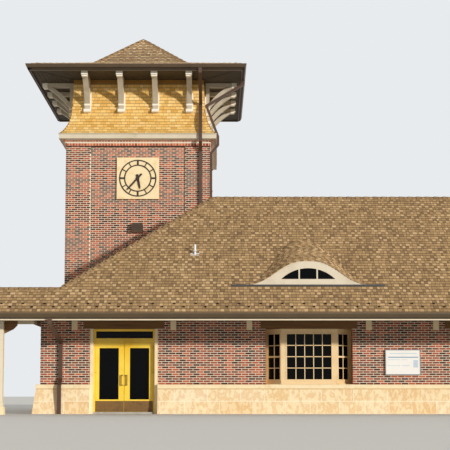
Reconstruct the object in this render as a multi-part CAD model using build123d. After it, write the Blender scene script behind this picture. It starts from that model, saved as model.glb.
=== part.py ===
from build123d import *

import math
import os

# A railway station building: a one-storey brick hall on a stone base, under a hipped shingle roof
# that reaches far over the platform and runs on as a canopy, with a square brick clock tower behind.
# Millimetres. X runs along the platform, Y goes from the platform towards the back, Z is up.
# The layout below starts on the ground in the middle of the hall's front face; the finished
# solids are moved so that the origin lies under the middle of the whole building.

# Hall
hall_length = 15720
hall_depth = 6000
wall_thickness = 300
head_level = 2480
soffit_level = 2720
floor_thickness = 50
board_thickness = 40
joint = 0.8

# Stone base: battered blocks under a projecting cap course
base_height = 735
base_cap_height = 118
base_top_projection = 100
base_foot_projection = 200
base_cap_projection = 120
base_cap_bevel = 15

# Door units: one that opens left of the bay window, one like it on the right
door_offset_left = 5420
door_offset_right = 5160
door_frame_width = 1800
door_frame_recess = 150
door_frame_depth = 100
door_post_width = 50
surround_width = 90
surround_projection = 12
leaf_head_level = 2080
transom_sill_level = 2200
transom_head_margin = 50
leaf_thickness = 45
leaf_side_gap = 5
leaf_meeting_gap = 10
leaf_floor_gap = 8
leaf_hinge_stile = 100
leaf_meeting_stile = 146
leaf_glass_bottom = 402
leaf_glass_top = 1937
glass_thickness = 8
kick_plate_top = 374
kick_plate_thickness = 3
kick_plate_margin = 4
pull_height = 310
pull_centre_level = 980
pull_reach = 60
pull_bar = 22
pull_edge_distance = 28
pull_offset = 62

# Barrel hinges of the doors
hinge_stand_off = 12
hinge_low_level = 520
hinge_middle_level = 1250
hinge_high_level = 1930
hinge_height = 110
hinge_knuckle_radius = 8
hinge_pin_radius = 4.7
hinge_bore_radius = 5
hinge_plate_thickness = 6
hinge_plate_width = 40
hinge_link_width = 10
hinge_knuckle_gap = 1

# Timber beams over the openings and the stone blocks beside them
beam_projection = 20
door_beam_length = 2350
bay_beam_length = 2820
corbel_width = 165
corbel_height = 280
corbel_projection = 80
corbel_distance_door = 270
corbel_distance_bay = 340

# Bay window: its front is flush with the wall and its flanks are canted back into the opening
bay_opening_width = 2550
bay_front_width = 1650
bay_setback = 455
bay_frame_depth = 60
bay_glass_width = 1300
bay_glass_bottom = 1002
bay_glass_top = 2327
bay_flank_inner_stile = 45
bay_flank_outer_stile = 130
bay_board_thickness = 40

# Plain windows of the sides that face away from the platform
plain_window_width = 1200
plain_window_head = 2330
plain_window_depth = 80
plain_window_recess = 110
plain_window_rail = 70
rear_window_spacing = 5160

# Notice board on the front wall
notice_offset = 2730
notice_width = 1020
notice_height = 730
notice_level = 1500
notice_depth = 60

# Main roof: straight hips, wide eaves on three sides, a short one at the left end
roof_pitch = 0.78
roof_thickness = 90
eave_level = 2780
eave_overhang = 2300
left_eave_overhang = 300
fascia_bottom = 2590
fascia_thickness = 30
gutter_width = 130
gutter_wall = 6
gutter_lap = 70

# Canopy: the front eave runs on to the left over a row of posts
canopy_half_width = 1020
canopy_bays = 2
canopy_bay = 3150
canopy_first_post = 930
canopy_end = 900
post_width = 180
post_base_width = 260
post_base_height = 220
canopy_beam_depth = 100
canopy_bracket_reach = 450
canopy_bracket_height = 340
canopy_bracket_nose = 110

# Eyebrow dormer in the front slope: a bell-shaped face with a low arched window
dormer_offset = -110
dormer_setback = 1100
dormer_half_width = 1615
dormer_height = 712
dormer_bell_width = 1090
dormer_bell_power = 2.7
dormer_hood_pitch = 0.427
dormer_hood_thickness = 60
dormer_face_thickness = 50
dormer_window_width = 1690
dormer_window_rise = 390
dormer_window_sill = 147
dormer_frame_width = 40
dormer_frame_tip = 80
dormer_mullion_offset = 255
dormer_glass_setback = 25
roof_hatch_width = 1100
roof_hatch_length = 900
roof_hatch_margin = 150

# Vent pipe through the front slope
vent_offset = 3350
vent_setback = 2450
vent_radius = 35
vent_height = 300
vent_flashing_width = 260
vent_flashing_length = 150
vent_flashing_thickness = 8

# Downspouts
pipe_width = 110
pipe_depth = 80
pipe_joint = 0.6
pipe_elbow_clearance = 20
hall_pipe_inset = 590
hall_pipe_elbow_level = 2070
base_elbow_level = 1010
base_elbow_drop = 190
tower_elbow_drop = 900

# Tower
tower_width = 4920
tower_overlap = 1040
tower_brick_level = 9245
tower_beam_height = 300
pilaster_width = 830
panel_recess = 50
corbel_band_height = 200
corbel_band_projection = 150
cornice_height = 180
cornice_projection = 220
band_top_level = 11410
band_top_inset = 215
band_thickness = 150
band_flare_height = 420
tower_overhang = 1230
tower_eave_level = 11560
tower_fascia_bottom = 11355
tower_low_pitch = 0.30
tower_high_pitch = 0.84
tower_low_run = 2000
tower_roof_thickness = 60
tower_peak_half_width = 20
bracket_thickness = 170
bracket_reach = 1075
bracket_height = 1165
bracket_leg = 130
bracket_arm = 150
bracket_brace = 190
bracket_brace_foot = 235
bracket_sag = 45
bracket_nose = 100
bracket_spacing = 1170
bracket_count = 4
tower_pipe_inset = 320

# Clock
clock_level = 7913
clock_panel_size = 1437
clock_panel_thickness = 60
dial_outer_radius = 637
dial_inner_radius = 469
dial_ring_width = 40
dial_thickness = 12
dial_mark_width = 34
dial_quarter_mark_width = 62
arbor_radius = 22
arbor_length = 62
arbor_head_radius = 40
arbor_head_thickness = 8
hand_bore_clearance = 0.3
hand_hub_radius = 60
hand_thickness = 8
hand_gap = 8
minute_hand_length = 566
minute_hand_tail = 200
minute_hand_width = 60
minute_hand_tip_width = 50
minute_hand_angle = 222
hour_hand_length = 392
hour_hand_tail = 135
hour_hand_width = 80
hour_hand_tip_width = 66
hour_hand_angle = 168.5

# Wall light under the front clock
light_width = 420
light_top_width = 340
light_height = 300
light_depth = 200
light_level = 6210

# Places that follow from the sizes above
hall_left = -hall_length / 2
hall_right = hall_length / 2
base_top = base_height + base_cap_height
sill_level = base_top
door_left = -door_offset_left
door_right = door_offset_right
door_opening_width = door_frame_width + 2 * surround_width
eave_left = hall_left - left_eave_overhang
eave_right = hall_right + eave_overhang
eave_front = -eave_overhang
eave_rear = hall_depth + eave_overhang
roof_run = (eave_rear - eave_front) / 2
canopy_left = hall_left - canopy_first_post - canopy_bays * canopy_bay - canopy_end
canopy_ridge_y = eave_front + canopy_half_width
canopy_rear = eave_front + 2 * canopy_half_width
tower_left = hall_left
tower_right = tower_left + tower_width
tower_front = hall_depth - tower_overlap
tower_rear = tower_front + tower_width
tower_half = tower_width / 2
tower_centre = ((tower_left + tower_right) / 2, (tower_front + tower_rear) / 2)
tower_eave_half = tower_half + tower_overhang
cornice_top = tower_brick_level + cornice_height
centre_x = (canopy_left + eave_right) / 2
centre_y = (eave_front + tower_rear + tower_overhang) / 2

SQUARE, CONVEX, REENTRANT = 0, 1, -1


def export(name, solids):
    """Writes a node: its solids, moved so that the origin is under the middle of the building."""
    moved = [Pos(-centre_x, -centre_y, 0) * solid for solid in solids]
    shape = moved[0] if len(moved) == 1 else Compound(children=moved)
    export_step(shape, f"parts/{name}.step")


def block(x0, x1, y0, y1, z0, z1):
    """A box between two corners."""
    return Pos((x0 + x1) / 2, (y0 + y1) / 2, (z0 + z1) / 2) * Box(x1 - x0, y1 - y0, z1 - z0)


def outline(points):
    """A flat face from its corners."""
    return Polygon(*points, align=None)


def edge_run(profile, start, end, start_corner, end_corner):
    """A profile, drawn as distance outward and level, along one edge; its ends are mitred or square."""
    start, end = Vector(*start, 0), Vector(*end, 0)
    along = (end - start).normalized()
    outward = Vector(along.Y, -along.X, 0)
    reach = profile.bounding_box()
    spare = max(abs(reach.min.X), abs(reach.max.X)) + joint
    plane = Plane(origin=end + along * spare, x_dir=outward, z_dir=-along)
    run = extrude(plane * profile, amount=(end - start).length + 2 * spare)
    near = Plane(origin=start + along * joint / 2, z_dir=along + outward * start_corner)
    far = Plane(origin=end - along * joint / 2, z_dir=-along + outward * end_corner)
    run = split(run, bisect_by=near, keep=Keep.TOP)
    return split(run, bisect_by=far, keep=Keep.TOP)


def square_ring(profile, centre, half):
    """Four mitred runs of a profile around a square."""
    x, y = centre
    corners = [(x - half, y - half), (x + half, y - half), (x + half, y + half), (x - half, y + half)]
    ends = corners[1:] + corners[:1]
    return [edge_run(profile, a, b, CONVEX, CONVEX) for a, b in zip(corners, ends)]


def slope_slab(plan, eave_point, outward, pitch, thickness):
    """A roof deck over a plan, with vertical edges and a small joint all round."""
    normal = Vector(outward[0] * pitch, outward[1] * pitch, 1)
    face = offset(outline(plan), amount=-joint / 2, kind=Kind.INTERSECTION)
    prism = extrude(face, amount=tower_eave_level)
    top = Plane(origin=Vector(*eave_point), z_dir=normal)
    bottom = Plane(origin=Vector(*eave_point) - Vector(0, 0, thickness), z_dir=normal)
    return split(split(prism, bisect_by=top, keep=Keep.BOTTOM), bisect_by=bottom, keep=Keep.TOP)


def pipe_runs(points, across):
    """A downspout as straight lengths that meet at mitred elbows."""
    points = [Vector(*point) for point in points]
    runs = []
    for number in range(len(points) - 1):
        start, end = points[number], points[number + 1]
        along = (end - start).normalized()
        first, last = number == 0, number == len(points) - 2
        start_spare = 0 if first else pipe_width
        end_spare = 0 if last else pipe_width
        plane = Plane(origin=start - along * start_spare, x_dir=Vector(*across), z_dir=along)
        length = (end - start).length + start_spare + end_spare
        run = extrude(plane * Rectangle(pipe_width, pipe_depth), amount=length)
        if not first:
            before = (start - points[number - 1]).normalized()
            cut = Plane(origin=start + along * pipe_joint / 2, z_dir=along + before)
            run = split(run, bisect_by=cut, keep=Keep.TOP)
        if not last:
            after = (points[number + 2] - end).normalized()
            cut = Plane(origin=end - along * pipe_joint / 2, z_dir=along + after)
            run = split(run, bisect_by=cut, keep=Keep.BOTTOM)
        runs.append(run)
    return runs


# Hall walls, floor and ceiling

def beam_spans():
    """Left and right end of each timber beam in the front wall."""
    lengths = ((door_left, door_beam_length), (0, bay_beam_length), (door_right, door_beam_length))
    return [(middle - length / 2, middle + length / 2) for middle, length in lengths]


def hall_beams():
    """Timber beams over the two doorways and the bay window."""
    return [block(a, b, -beam_projection, wall_thickness, head_level, soffit_level)
            for a, b in beam_spans()]


def front_wall():
    """Front wall in three lengths, cut for the bay window and the ends of the beams."""
    door_half = door_opening_width / 2
    spans = ((hall_left, door_left - door_half), (door_left + door_half, door_right - door_half),
             (door_right + door_half, hall_right))
    bay_half = bay_opening_width / 2
    bay_hole = block(-bay_half, bay_half, 0, wall_thickness, sill_level, soffit_level)
    lengths = [block(a, b, 0, wall_thickness, 0, soffit_level) for a, b in spans]
    lengths[1] -= bay_hole
    lengths[1] += bay_lining(floor_thickness, sill_level - bay_board_thickness)
    for a, b in beam_spans():
        notch = block(a, b, 0, wall_thickness, head_level, soffit_level)
        lengths = [length - notch for length in lengths]
    return lengths


def plain_window_places():
    """Middle of the outer face, direction along the wall and outward, of each plain window."""
    side_middle = hall_depth / 2
    left_middle = tower_front / 2
    return [((0, hall_depth), (-1, 0), (0, 1)),
            ((rear_window_spacing, hall_depth), (-1, 0), (0, 1)),
            ((hall_right, side_middle), (0, 1), (1, 0)),
            ((hall_left, left_middle), (0, -1), (-1, 0))]


def window_block(place, half_width, bottom, top, recess, depth):
    """A box in a wall, from a recess behind its outer face inwards."""
    (x, y), (along_x, along_y), (out_x, out_y) = place
    corners = [(x + side * half_width * along_x - back * out_x,
                y + side * half_width * along_y - back * out_y)
               for side, back in ((-1, recess), (1, recess + depth))]
    xs, ys = sorted(c[0] for c in corners), sorted(c[1] for c in corners)
    return block(xs[0], xs[1], ys[0], ys[1], bottom, top)


def cut_windows(wall):
    """Cuts every plain window opening that meets a wall."""
    for place in plain_window_places():
        wall -= window_block(place, plain_window_width / 2, sill_level, plain_window_head, 0, wall_thickness)
    return wall


def rear_wall():
    """Rear wall of the hall, from the tower to the right corner."""
    wall = block(tower_right, hall_right, hall_depth - wall_thickness, hall_depth, 0, soffit_level)
    return cut_windows(wall)


def end_walls():
    """Left end wall up to the tower, and right end wall."""
    left = block(hall_left, hall_left + wall_thickness, wall_thickness, tower_front, 0, soffit_level)
    right = block(hall_right - wall_thickness, hall_right, wall_thickness, hall_depth - wall_thickness,
                  0, soffit_level)
    return [cut_windows(left), cut_windows(right)]


def hall_floor():
    """Floor slabs of the hall, of its strip beside the tower and of the tower's foot."""
    inner_left, inner_right = hall_left + wall_thickness, hall_right - wall_thickness
    slab = block(inner_left, inner_right, wall_thickness, tower_front, 0, floor_thickness)
    for middle in (door_left, door_right):
        half = door_opening_width / 2 - surround_width
        slab += block(middle - half, middle + half, 0, wall_thickness, 0, floor_thickness)
    strip = block(tower_right, inner_right, tower_front + joint, hall_depth - wall_thickness,
                  0, floor_thickness)
    foot = block(tower_left + wall_thickness, tower_right - wall_thickness, tower_front + joint,
                 tower_rear - wall_thickness, 0, floor_thickness)
    return [slab, strip, foot]


def ceiling():
    """Ceiling boards on the wall tops, around the tower."""
    top = soffit_level + board_thickness
    return [block(hall_left, hall_right, 0, tower_front, soffit_level, top),
            block(tower_right, hall_right, tower_front + joint, hall_depth, soffit_level, top)]


# Stone base

def wall_foot_edges():
    """Edges of the wall foot, round the building, broken at the doorways."""
    half = door_opening_width / 2
    return [((hall_left, 0), (door_left - half, 0), CONVEX, SQUARE),
            ((door_left + half, 0), (door_right - half, 0), SQUARE, SQUARE),
            ((door_right + half, 0), (hall_right, 0), SQUARE, CONVEX),
            ((hall_right, 0), (hall_right, hall_depth), CONVEX, CONVEX),
            ((hall_right, hall_depth), (tower_right, hall_depth), CONVEX, REENTRANT),
            ((tower_right, hall_depth), (tower_right, tower_rear), REENTRANT, CONVEX),
            ((tower_right, tower_rear), (tower_left, tower_rear), CONVEX, CONVEX),
            ((tower_left, tower_rear), (hall_left, 0), CONVEX, CONVEX)]


def base_stones():
    """Battered blocks of the base."""
    profile = outline([(0, 0), (base_foot_projection, 0), (base_top_projection, base_height),
                       (0, base_height)])
    return [edge_run(profile, *edge) for edge in wall_foot_edges()]


def base_caps():
    """Cap course on the base."""
    profile = outline([(0, base_height), (base_cap_projection, base_height),
                       (base_cap_projection, base_top - base_cap_bevel),
                       (base_cap_projection - base_cap_bevel, base_top), (0, base_top)])
    return [edge_run(profile, *edge) for edge in wall_foot_edges()]


def corbel_blocks():
    """Stone blocks on the wall on both sides of each beam, right under the soffit."""
    spans = beam_spans()
    distances = (corbel_distance_door, corbel_distance_bay, corbel_distance_door)
    blocks = []
    for (a, b), distance in zip(spans, distances):
        for middle in (a - distance, b + distance):
            blocks.append(block(middle - corbel_width / 2, middle + corbel_width / 2, -corbel_projection, 0,
                                soffit_level - corbel_height, soffit_level))
    return blocks


# Doors

def door_surround(middle):
    """Stone jambs on both sides of a doorway."""
    outer = door_opening_width / 2
    inner = outer - surround_width
    return [block(middle + a, middle + b, -surround_projection, wall_thickness, 0, head_level)
            for a, b in ((-outer, -inner), (inner, outer))]


def door_frame(middle):
    """Painted frame with a transom light over the leaves."""
    half = door_frame_width / 2
    clear = half - door_post_width
    back = door_frame_recess + door_frame_depth
    frame = block(middle - half, middle + half, door_frame_recess, back, floor_thickness, head_level)
    frame -= block(middle - clear, middle + clear, door_frame_recess, back, floor_thickness, leaf_head_level)
    frame -= block(middle - clear, middle + clear, door_frame_recess, back, transom_sill_level,
                   head_level - transom_head_margin)
    return frame


def transom_glass(middle):
    """Glass over the leaves."""
    clear = door_frame_width / 2 - door_post_width
    front = door_frame_recess + door_frame_depth / 2
    return block(middle - clear, middle + clear, front, front + glass_thickness, transom_sill_level,
                 head_level - transom_head_margin)


leaf_width = (door_frame_width - 2 * door_post_width - 2 * leaf_side_gap - leaf_meeting_gap) / 2
leaf_start = leaf_side_gap / 2
leaf_end = leaf_start + leaf_width
leaf_front = hinge_stand_off
leaf_bottom = floor_thickness + leaf_floor_gap
leaf_top = leaf_head_level - leaf_side_gap
hinge_levels = (hinge_low_level, hinge_middle_level, hinge_high_level)


def leaf_panel():
    """A leaf hung on the left, seen from its hinge axis: stiles and rails round a pane."""
    panel = block(leaf_start, leaf_end, leaf_front, leaf_front + leaf_thickness, leaf_bottom, leaf_top)
    return panel - block(leaf_start + leaf_hinge_stile, leaf_end - leaf_meeting_stile, leaf_front,
                         leaf_front + leaf_thickness, leaf_glass_bottom, leaf_glass_top)


def leaf_pane():
    """Glass of a leaf."""
    front = leaf_front + (leaf_thickness - glass_thickness) / 2
    return block(leaf_start + leaf_hinge_stile, leaf_end - leaf_meeting_stile, front,
                 front + glass_thickness, leaf_glass_bottom, leaf_glass_top)


def kick_plate():
    """Bronze plate over the foot of a leaf."""
    return block(leaf_start + kick_plate_margin, leaf_end - kick_plate_margin,
                 leaf_front - kick_plate_thickness, leaf_front,
                 leaf_bottom + kick_plate_margin, kick_plate_top)


def pull_handle():
    """Pull by the free edge: two legs that turn sideways, and a grip between their ends."""
    foot = leaf_end - pull_edge_distance
    side = foot - pull_offset
    front, back = leaf_front - pull_reach, leaf_front - pull_reach + pull_bar
    low, high = pull_centre_level - pull_height / 2, pull_centre_level + pull_height / 2
    grip = block(side, side + pull_bar, front, back, low, high)
    for level in (low, high - pull_bar):
        grip += block(side, foot, front, back, level, level + pull_bar)
        grip += block(foot - pull_bar, foot, front, leaf_front, level, level + pull_bar)
    return grip


def knuckle(low, high, radius):
    """A round piece on the hinge axis."""
    return Pos(0, 0, (low + high) / 2) * Cylinder(radius, high - low)


def knuckle_levels(level):
    """Bottom, two joints and top of the three knuckles of a hinge."""
    third = hinge_height / 3
    low = level - hinge_height / 2
    return low, low + third, low + 2 * third, low + hinge_height


def leaf_hinge(level):
    """The part of a hinge that is fixed to the leaf: a plate and the middle knuckle."""
    low, first, second, high = knuckle_levels(level)
    front, back = leaf_front - hinge_plate_thickness, leaf_front
    part = block(hinge_link_width, hinge_plate_width, front, back, low, high)
    part += block(0, hinge_link_width, front, back, first + hinge_knuckle_gap, second - hinge_knuckle_gap)
    part += knuckle(first + hinge_knuckle_gap, second - hinge_knuckle_gap, hinge_knuckle_radius)
    return part - knuckle(low, high, hinge_bore_radius)


def frame_hinge(level):
    """The part of a hinge that is fixed to the frame: a plate, two knuckles and the pin."""
    low, first, second, high = knuckle_levels(level)
    front, back = leaf_front - hinge_plate_thickness, leaf_front
    part = block(-hinge_plate_width, -hinge_link_width, front, back, low, high)
    for a, b in ((low, first), (second, high)):
        part += block(-hinge_link_width, 0, front, back, a, b) + knuckle(a, b, hinge_knuckle_radius)
    return part + knuckle(low, high, hinge_pin_radius)


def leaf_hardware():
    """Kick plate, pull and hinge parts that move with a leaf."""
    return [kick_plate(), pull_handle()] + [leaf_hinge(level) for level in hinge_levels]


def hung(solids, middle, side):
    """Places solids at the hinge axis on the left (-1) or right (1) of a doorway."""
    axis = middle + side * (door_frame_width / 2 - door_post_width - leaf_side_gap / 2)
    if side > 0:
        solids = [mirror(solid, about=Plane.YZ) for solid in solids]
    return [Pos(axis, door_frame_recess - hinge_stand_off, 0) * solid for solid in solids]


def doors():
    """Both door units: the left one has leaves that move, the right one is fixed."""
    middles = (door_left, door_right)
    export("door_surrounds", [jamb for middle in middles for jamb in door_surround(middle)])
    export("door_frames", [door_frame(middle) for middle in middles])
    for name, side in (("left", -1), ("right", 1)):
        export(f"{name}_door_leaf", hung([leaf_panel()], door_left, side))
        export(f"{name}_door_glass", hung([leaf_pane()], door_left, side))
        export(f"{name}_door_hardware", hung(leaf_hardware(), door_left, side))
    fixed_glass = [transom_glass(middle) for middle in middles]
    fixed_leaves, hardware = [], []
    for side in (-1, 1):
        fixed_leaves += hung([leaf_panel()], door_right, side)
        fixed_glass += hung([leaf_pane()], door_right, side)
        hardware += hung(leaf_hardware(), door_right, side)
        for middle in middles:
            hardware += hung([frame_hinge(level) for level in hinge_levels], middle, side)
    export("fixed_door_leaves", fixed_leaves)
    export("fixed_door_glass", fixed_glass)
    export("fixed_door_hardware", hardware)


# Windows

def bay_corners(depth):
    """Plan corners of the bay window, a depth behind its outer face."""
    outer, front = bay_opening_width / 2, bay_front_width / 2
    cant = math.atan2(bay_setback, outer - front)
    inner_front = front - depth * math.tan(cant / 2)
    back = bay_setback + depth / math.cos(cant)
    return [(-outer, back), (-inner_front, depth), (inner_front, depth), (outer, back)]


def bay_lining(low, high):
    """The block behind the wall that the bay window reaches into, between two levels."""
    half = bay_opening_width / 2 + bay_frame_depth
    back = bay_corners(bay_frame_depth)[0][1]
    return block(-half, half, wall_thickness, back, low, high)


def bay_panes(setback, depth):
    """Boxes in the three lights of the bay window, a setback behind its outer face."""
    half = bay_glass_width / 2
    panes = [block(-half, half, setback, setback + depth, bay_glass_bottom, bay_glass_top)]
    height = bay_glass_top - bay_glass_bottom
    for side in (-1, 1):
        outer = Vector(side * bay_opening_width / 2, bay_setback, bay_glass_bottom)
        corner = Vector(side * bay_front_width / 2, 0, bay_glass_bottom)
        along = (corner - outer).normalized()
        inward = Vector(along.Y, -along.X, 0) * side
        width = (corner - outer).length - bay_flank_inner_stile - bay_flank_outer_stile
        middle = corner - along * (bay_flank_inner_stile + width / 2)
        centre = middle + inward * (setback + depth / 2) + Vector(0, 0, height / 2)
        plane = Plane(origin=centre, x_dir=along, z_dir=(0, 0, 1))
        panes.append(plane * Box(width, depth, height))
    return panes


def bay_window_frame():
    """Canted frame with three lights, and the boards between it and the wall."""
    plan = outline(bay_corners(0) + bay_corners(bay_frame_depth)[::-1])
    frame = extrude(Pos(0, 0, sill_level) * plan, amount=head_level - sill_level)
    for hole in bay_panes(-bay_frame_depth, 3 * bay_frame_depth):
        frame -= hole
    half = bay_opening_width / 2
    boards = bay_lining(sill_level - bay_board_thickness, head_level + bay_board_thickness)
    boards -= block(-half, half, 0, hall_depth, sill_level, head_level)
    return frame + boards


def plain_window(place):
    """Frame and meeting rail of a double-hung window, and its two panes."""
    half = plain_window_width / 2
    middle = (sill_level + plain_window_head) / 2
    frame = window_block(place, half, sill_level, plain_window_head, plain_window_recess, plain_window_depth)
    rail = plain_window_rail
    panes = []
    for low, high in ((sill_level + rail, middle - rail / 2), (middle + rail / 2, plain_window_head - rail)):
        frame -= window_block(place, half - rail, low, high, plain_window_recess, plain_window_depth)
        front = plain_window_recess + (plain_window_depth - glass_thickness) / 2
        panes.append(window_block(place, half - rail, low, high, front, glass_thickness))
    return frame, panes


def windows():
    """All windows that stay shut."""
    export("bay_window_frame", [bay_window_frame()])
    frames, panes = [], bay_panes((bay_frame_depth - glass_thickness) / 2, glass_thickness)
    for place in plain_window_places():
        frame, glass = plain_window(place)
        frames.append(frame)
        panes += glass
    export("plain_window_frames", frames)
    export("window_glass", panes)


def notice_board():
    """Shallow display case on the front wall."""
    half, half_height = notice_width / 2, notice_height / 2
    return block(notice_offset - half, notice_offset + half, -notice_depth, 0,
                 notice_level - half_height, notice_level + half_height)


# Roof of the hall and the canopy

def eave_edges():
    """Outer edges of the gutters, round the hall and the canopy."""
    return [((canopy_left, eave_front), (eave_right, eave_front), CONVEX, CONVEX),
            ((eave_right, eave_front), (eave_right, eave_rear), CONVEX, CONVEX),
            ((eave_right, eave_rear), (tower_right, eave_rear), CONVEX, SQUARE),
            ((eave_left, tower_front), (eave_left, canopy_rear), SQUARE, REENTRANT),
            ((eave_left, canopy_rear), (canopy_left, canopy_rear), REENTRANT, CONVEX),
            ((canopy_left, canopy_rear), (canopy_left, eave_front), CONVEX, CONVEX)]


def gutter_profile(level, pitch, thickness):
    """Open trough; its back is low enough to pass under the roof deck."""
    depth = gutter_width
    deck_underside = level + pitch * (gutter_width - gutter_wall) - thickness
    back = min(level, deck_underside - joint)
    low = level - depth
    return outline([(0, low), (0, level), (-gutter_wall, level), (-gutter_wall, low + gutter_wall),
                    (gutter_wall - gutter_width, low + gutter_wall), (gutter_wall - gutter_width, back),
                    (-gutter_width, back), (-gutter_width, low)])


def fascia_profile(level, pitch, thickness, bottom):
    """Board behind the gutter, its top bevelled to the underside of the roof deck."""
    front, back = gutter_width, gutter_width + fascia_thickness
    return outline([(-front, bottom), (-front, level + pitch * front - thickness),
                    (-back, level + pitch * back - thickness), (-back, bottom)])


def main_roof():
    """The four slopes of the hall's roof, cut off at the tower."""
    edge = gutter_width - gutter_lap
    left, right, front, rear = eave_left + edge, eave_right - edge, eave_front + edge, eave_rear - edge
    ridge_y = (eave_front + eave_rear) / 2
    ridge_left, ridge_right = eave_left + roof_run, eave_right - roof_run
    behind = tower_front
    hip_at_tower = ridge_left - (behind - ridge_y)
    front_slope = slope_slab([(left, front), (right, front), (ridge_right, ridge_y), (ridge_left, ridge_y)],
                             (0, eave_front, eave_level), (0, -1), roof_pitch, roof_thickness)
    hatch_front = eave_front + dormer_setback + dormer_face_thickness + roof_hatch_margin
    half_hatch = roof_hatch_width / 2
    front_slope -= block(dormer_offset - half_hatch, dormer_offset + half_hatch, hatch_front,
                         hatch_front + roof_hatch_length, 0, tower_eave_level)
    right_slope = slope_slab([(right, front), (right, rear), (ridge_right, ridge_y)],
                             (eave_right, 0, eave_level), (1, 0), roof_pitch, roof_thickness)
    left_slope = slope_slab([(left, canopy_rear - edge), (eave_left + canopy_half_width, canopy_ridge_y),
                             (ridge_left, ridge_y), (hip_at_tower, behind), (left, behind)],
                            (eave_left, 0, eave_level), (-1, 0), roof_pitch, roof_thickness)
    hip_reach = ridge_right + (behind - ridge_y)
    upper_rear = slope_slab([(ridge_left, ridge_y), (ridge_right, ridge_y), (hip_reach, behind),
                             (hip_at_tower, behind)],
                            (0, eave_rear, eave_level), (0, 1), roof_pitch, roof_thickness)
    lower_rear = slope_slab([(tower_right, behind), (hip_reach, behind), (right, rear), (tower_right, rear)],
                            (0, eave_rear, eave_level), (0, 1), roof_pitch, roof_thickness)
    return [front_slope, right_slope, left_slope, upper_rear, lower_rear]


def canopy_roof():
    """Front, rear and hipped end slope of the canopy."""
    edge = gutter_width - gutter_lap
    left, front, rear = canopy_left + edge, eave_front + edge, canopy_rear - edge
    ridge_left, ridge_right = canopy_left + canopy_half_width, eave_left + canopy_half_width
    right = eave_left + edge
    ridge_y = canopy_ridge_y
    slopes = (([(left, front), (right, front), (ridge_right, ridge_y), (ridge_left, ridge_y)],
               (0, eave_front, eave_level), (0, -1)),
              ([(ridge_left, ridge_y), (ridge_right, ridge_y), (right, rear), (left, rear)],
               (0, canopy_rear, eave_level), (0, 1)),
              ([(left, front), (ridge_left, ridge_y), (left, rear)],
               (canopy_left, 0, eave_level), (-1, 0)))
    return [slope_slab(plan, point, outward, roof_pitch, roof_thickness) for plan, point, outward in slopes]


def soffits():
    """Level boards under the eaves of the hall, the canopy and the tower."""
    inset = gutter_width + fascia_thickness
    left, right = canopy_left + inset, eave_right - inset
    front, rear = eave_front + inset, eave_rear - inset
    low, high = soffit_level, soffit_level + board_thickness
    hall = [block(hall_left, right, front, -joint, low, high),
            block(left, hall_left - joint, front, canopy_rear - inset, low, high),
            block(eave_left + inset, hall_left - joint, canopy_rear - inset + joint, tower_front, low, high),
            block(hall_right + joint, right, 0, rear, low, high),
            block(tower_right, hall_right, hall_depth + joint, rear, low, high)]
    inner = -tower_overhang - band_top_inset - band_thickness
    profile = outline([(-inset, band_top_level), (-inset, band_top_level + board_thickness),
                       (inner, band_top_level + board_thickness), (inner, band_top_level)])
    return hall + square_ring(profile, tower_centre, tower_eave_half)


def roof_edges():
    """Fascia boards and gutters of the hall, the canopy and the tower."""
    hall_fascia = fascia_profile(eave_level, roof_pitch, roof_thickness, fascia_bottom)
    tower_fascia = fascia_profile(tower_eave_level, tower_low_pitch, tower_roof_thickness,
                                  tower_fascia_bottom)
    hall_gutter = gutter_profile(eave_level, roof_pitch, roof_thickness)
    tower_gutter = gutter_profile(tower_eave_level, tower_low_pitch, tower_roof_thickness)
    export("fascia_boards", [edge_run(hall_fascia, *edge) for edge in eave_edges()]
           + square_ring(tower_fascia, tower_centre, tower_eave_half))
    export("gutters", [edge_run(hall_gutter, *edge) for edge in eave_edges()]
           + square_ring(tower_gutter, tower_centre, tower_eave_half))


def post_places():
    """Middles of the canopy posts along X."""
    first = hall_left - canopy_first_post
    return [first - number * canopy_bay for number in range(canopy_bays + 1)]


def canopy_supports():
    """Posts on stone feet, sawn brackets at their heads, and the beam that they carry."""
    beam_low = soffit_level - canopy_beam_depth
    half, foot = post_width / 2, post_base_width / 2
    posts, feet, brackets = [], [], []
    for x in post_places():
        posts.append(block(x - half, x + half, canopy_ridge_y - half, canopy_ridge_y + half,
                           post_base_height, beam_low))
        feet.append(block(x - foot, x + foot, canopy_ridge_y - foot, canopy_ridge_y + foot, 0,
                          post_base_height))
        for side in (-1, 1):
            drop, reach, nose = canopy_bracket_height, canopy_bracket_reach, canopy_bracket_nose
            corners = [(half, 0), (reach, 0), (reach, -nose), (reach - nose, -2 * nose), (half, -drop)]
            side_view = outline([(x + side * along, beam_low + level) for along, level in corners])
            plane = Plane(origin=(0, canopy_ridge_y + half / 2, 0), x_dir=(1, 0, 0), z_dir=(0, -1, 0))
            brackets.append(extrude(plane * side_view, amount=half))
    places = post_places()
    beam = block(places[-1] - canopy_bracket_reach, places[0] + canopy_bracket_reach,
                 canopy_ridge_y - half, canopy_ridge_y + half, beam_low, soffit_level)
    export("canopy_posts", posts)
    export("canopy_post_feet", feet)
    export("canopy_brackets", brackets)
    return beam


# Eyebrow dormer

def slope_level(setback):
    """Level of the front slope, a distance behind the eave."""
    return eave_level + roof_pitch * setback


def bell_height(x):
    """Height of the dormer's curve above its foot."""
    return dormer_height * math.exp(-(abs(x) / dormer_bell_width) ** dormer_bell_power)


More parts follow.
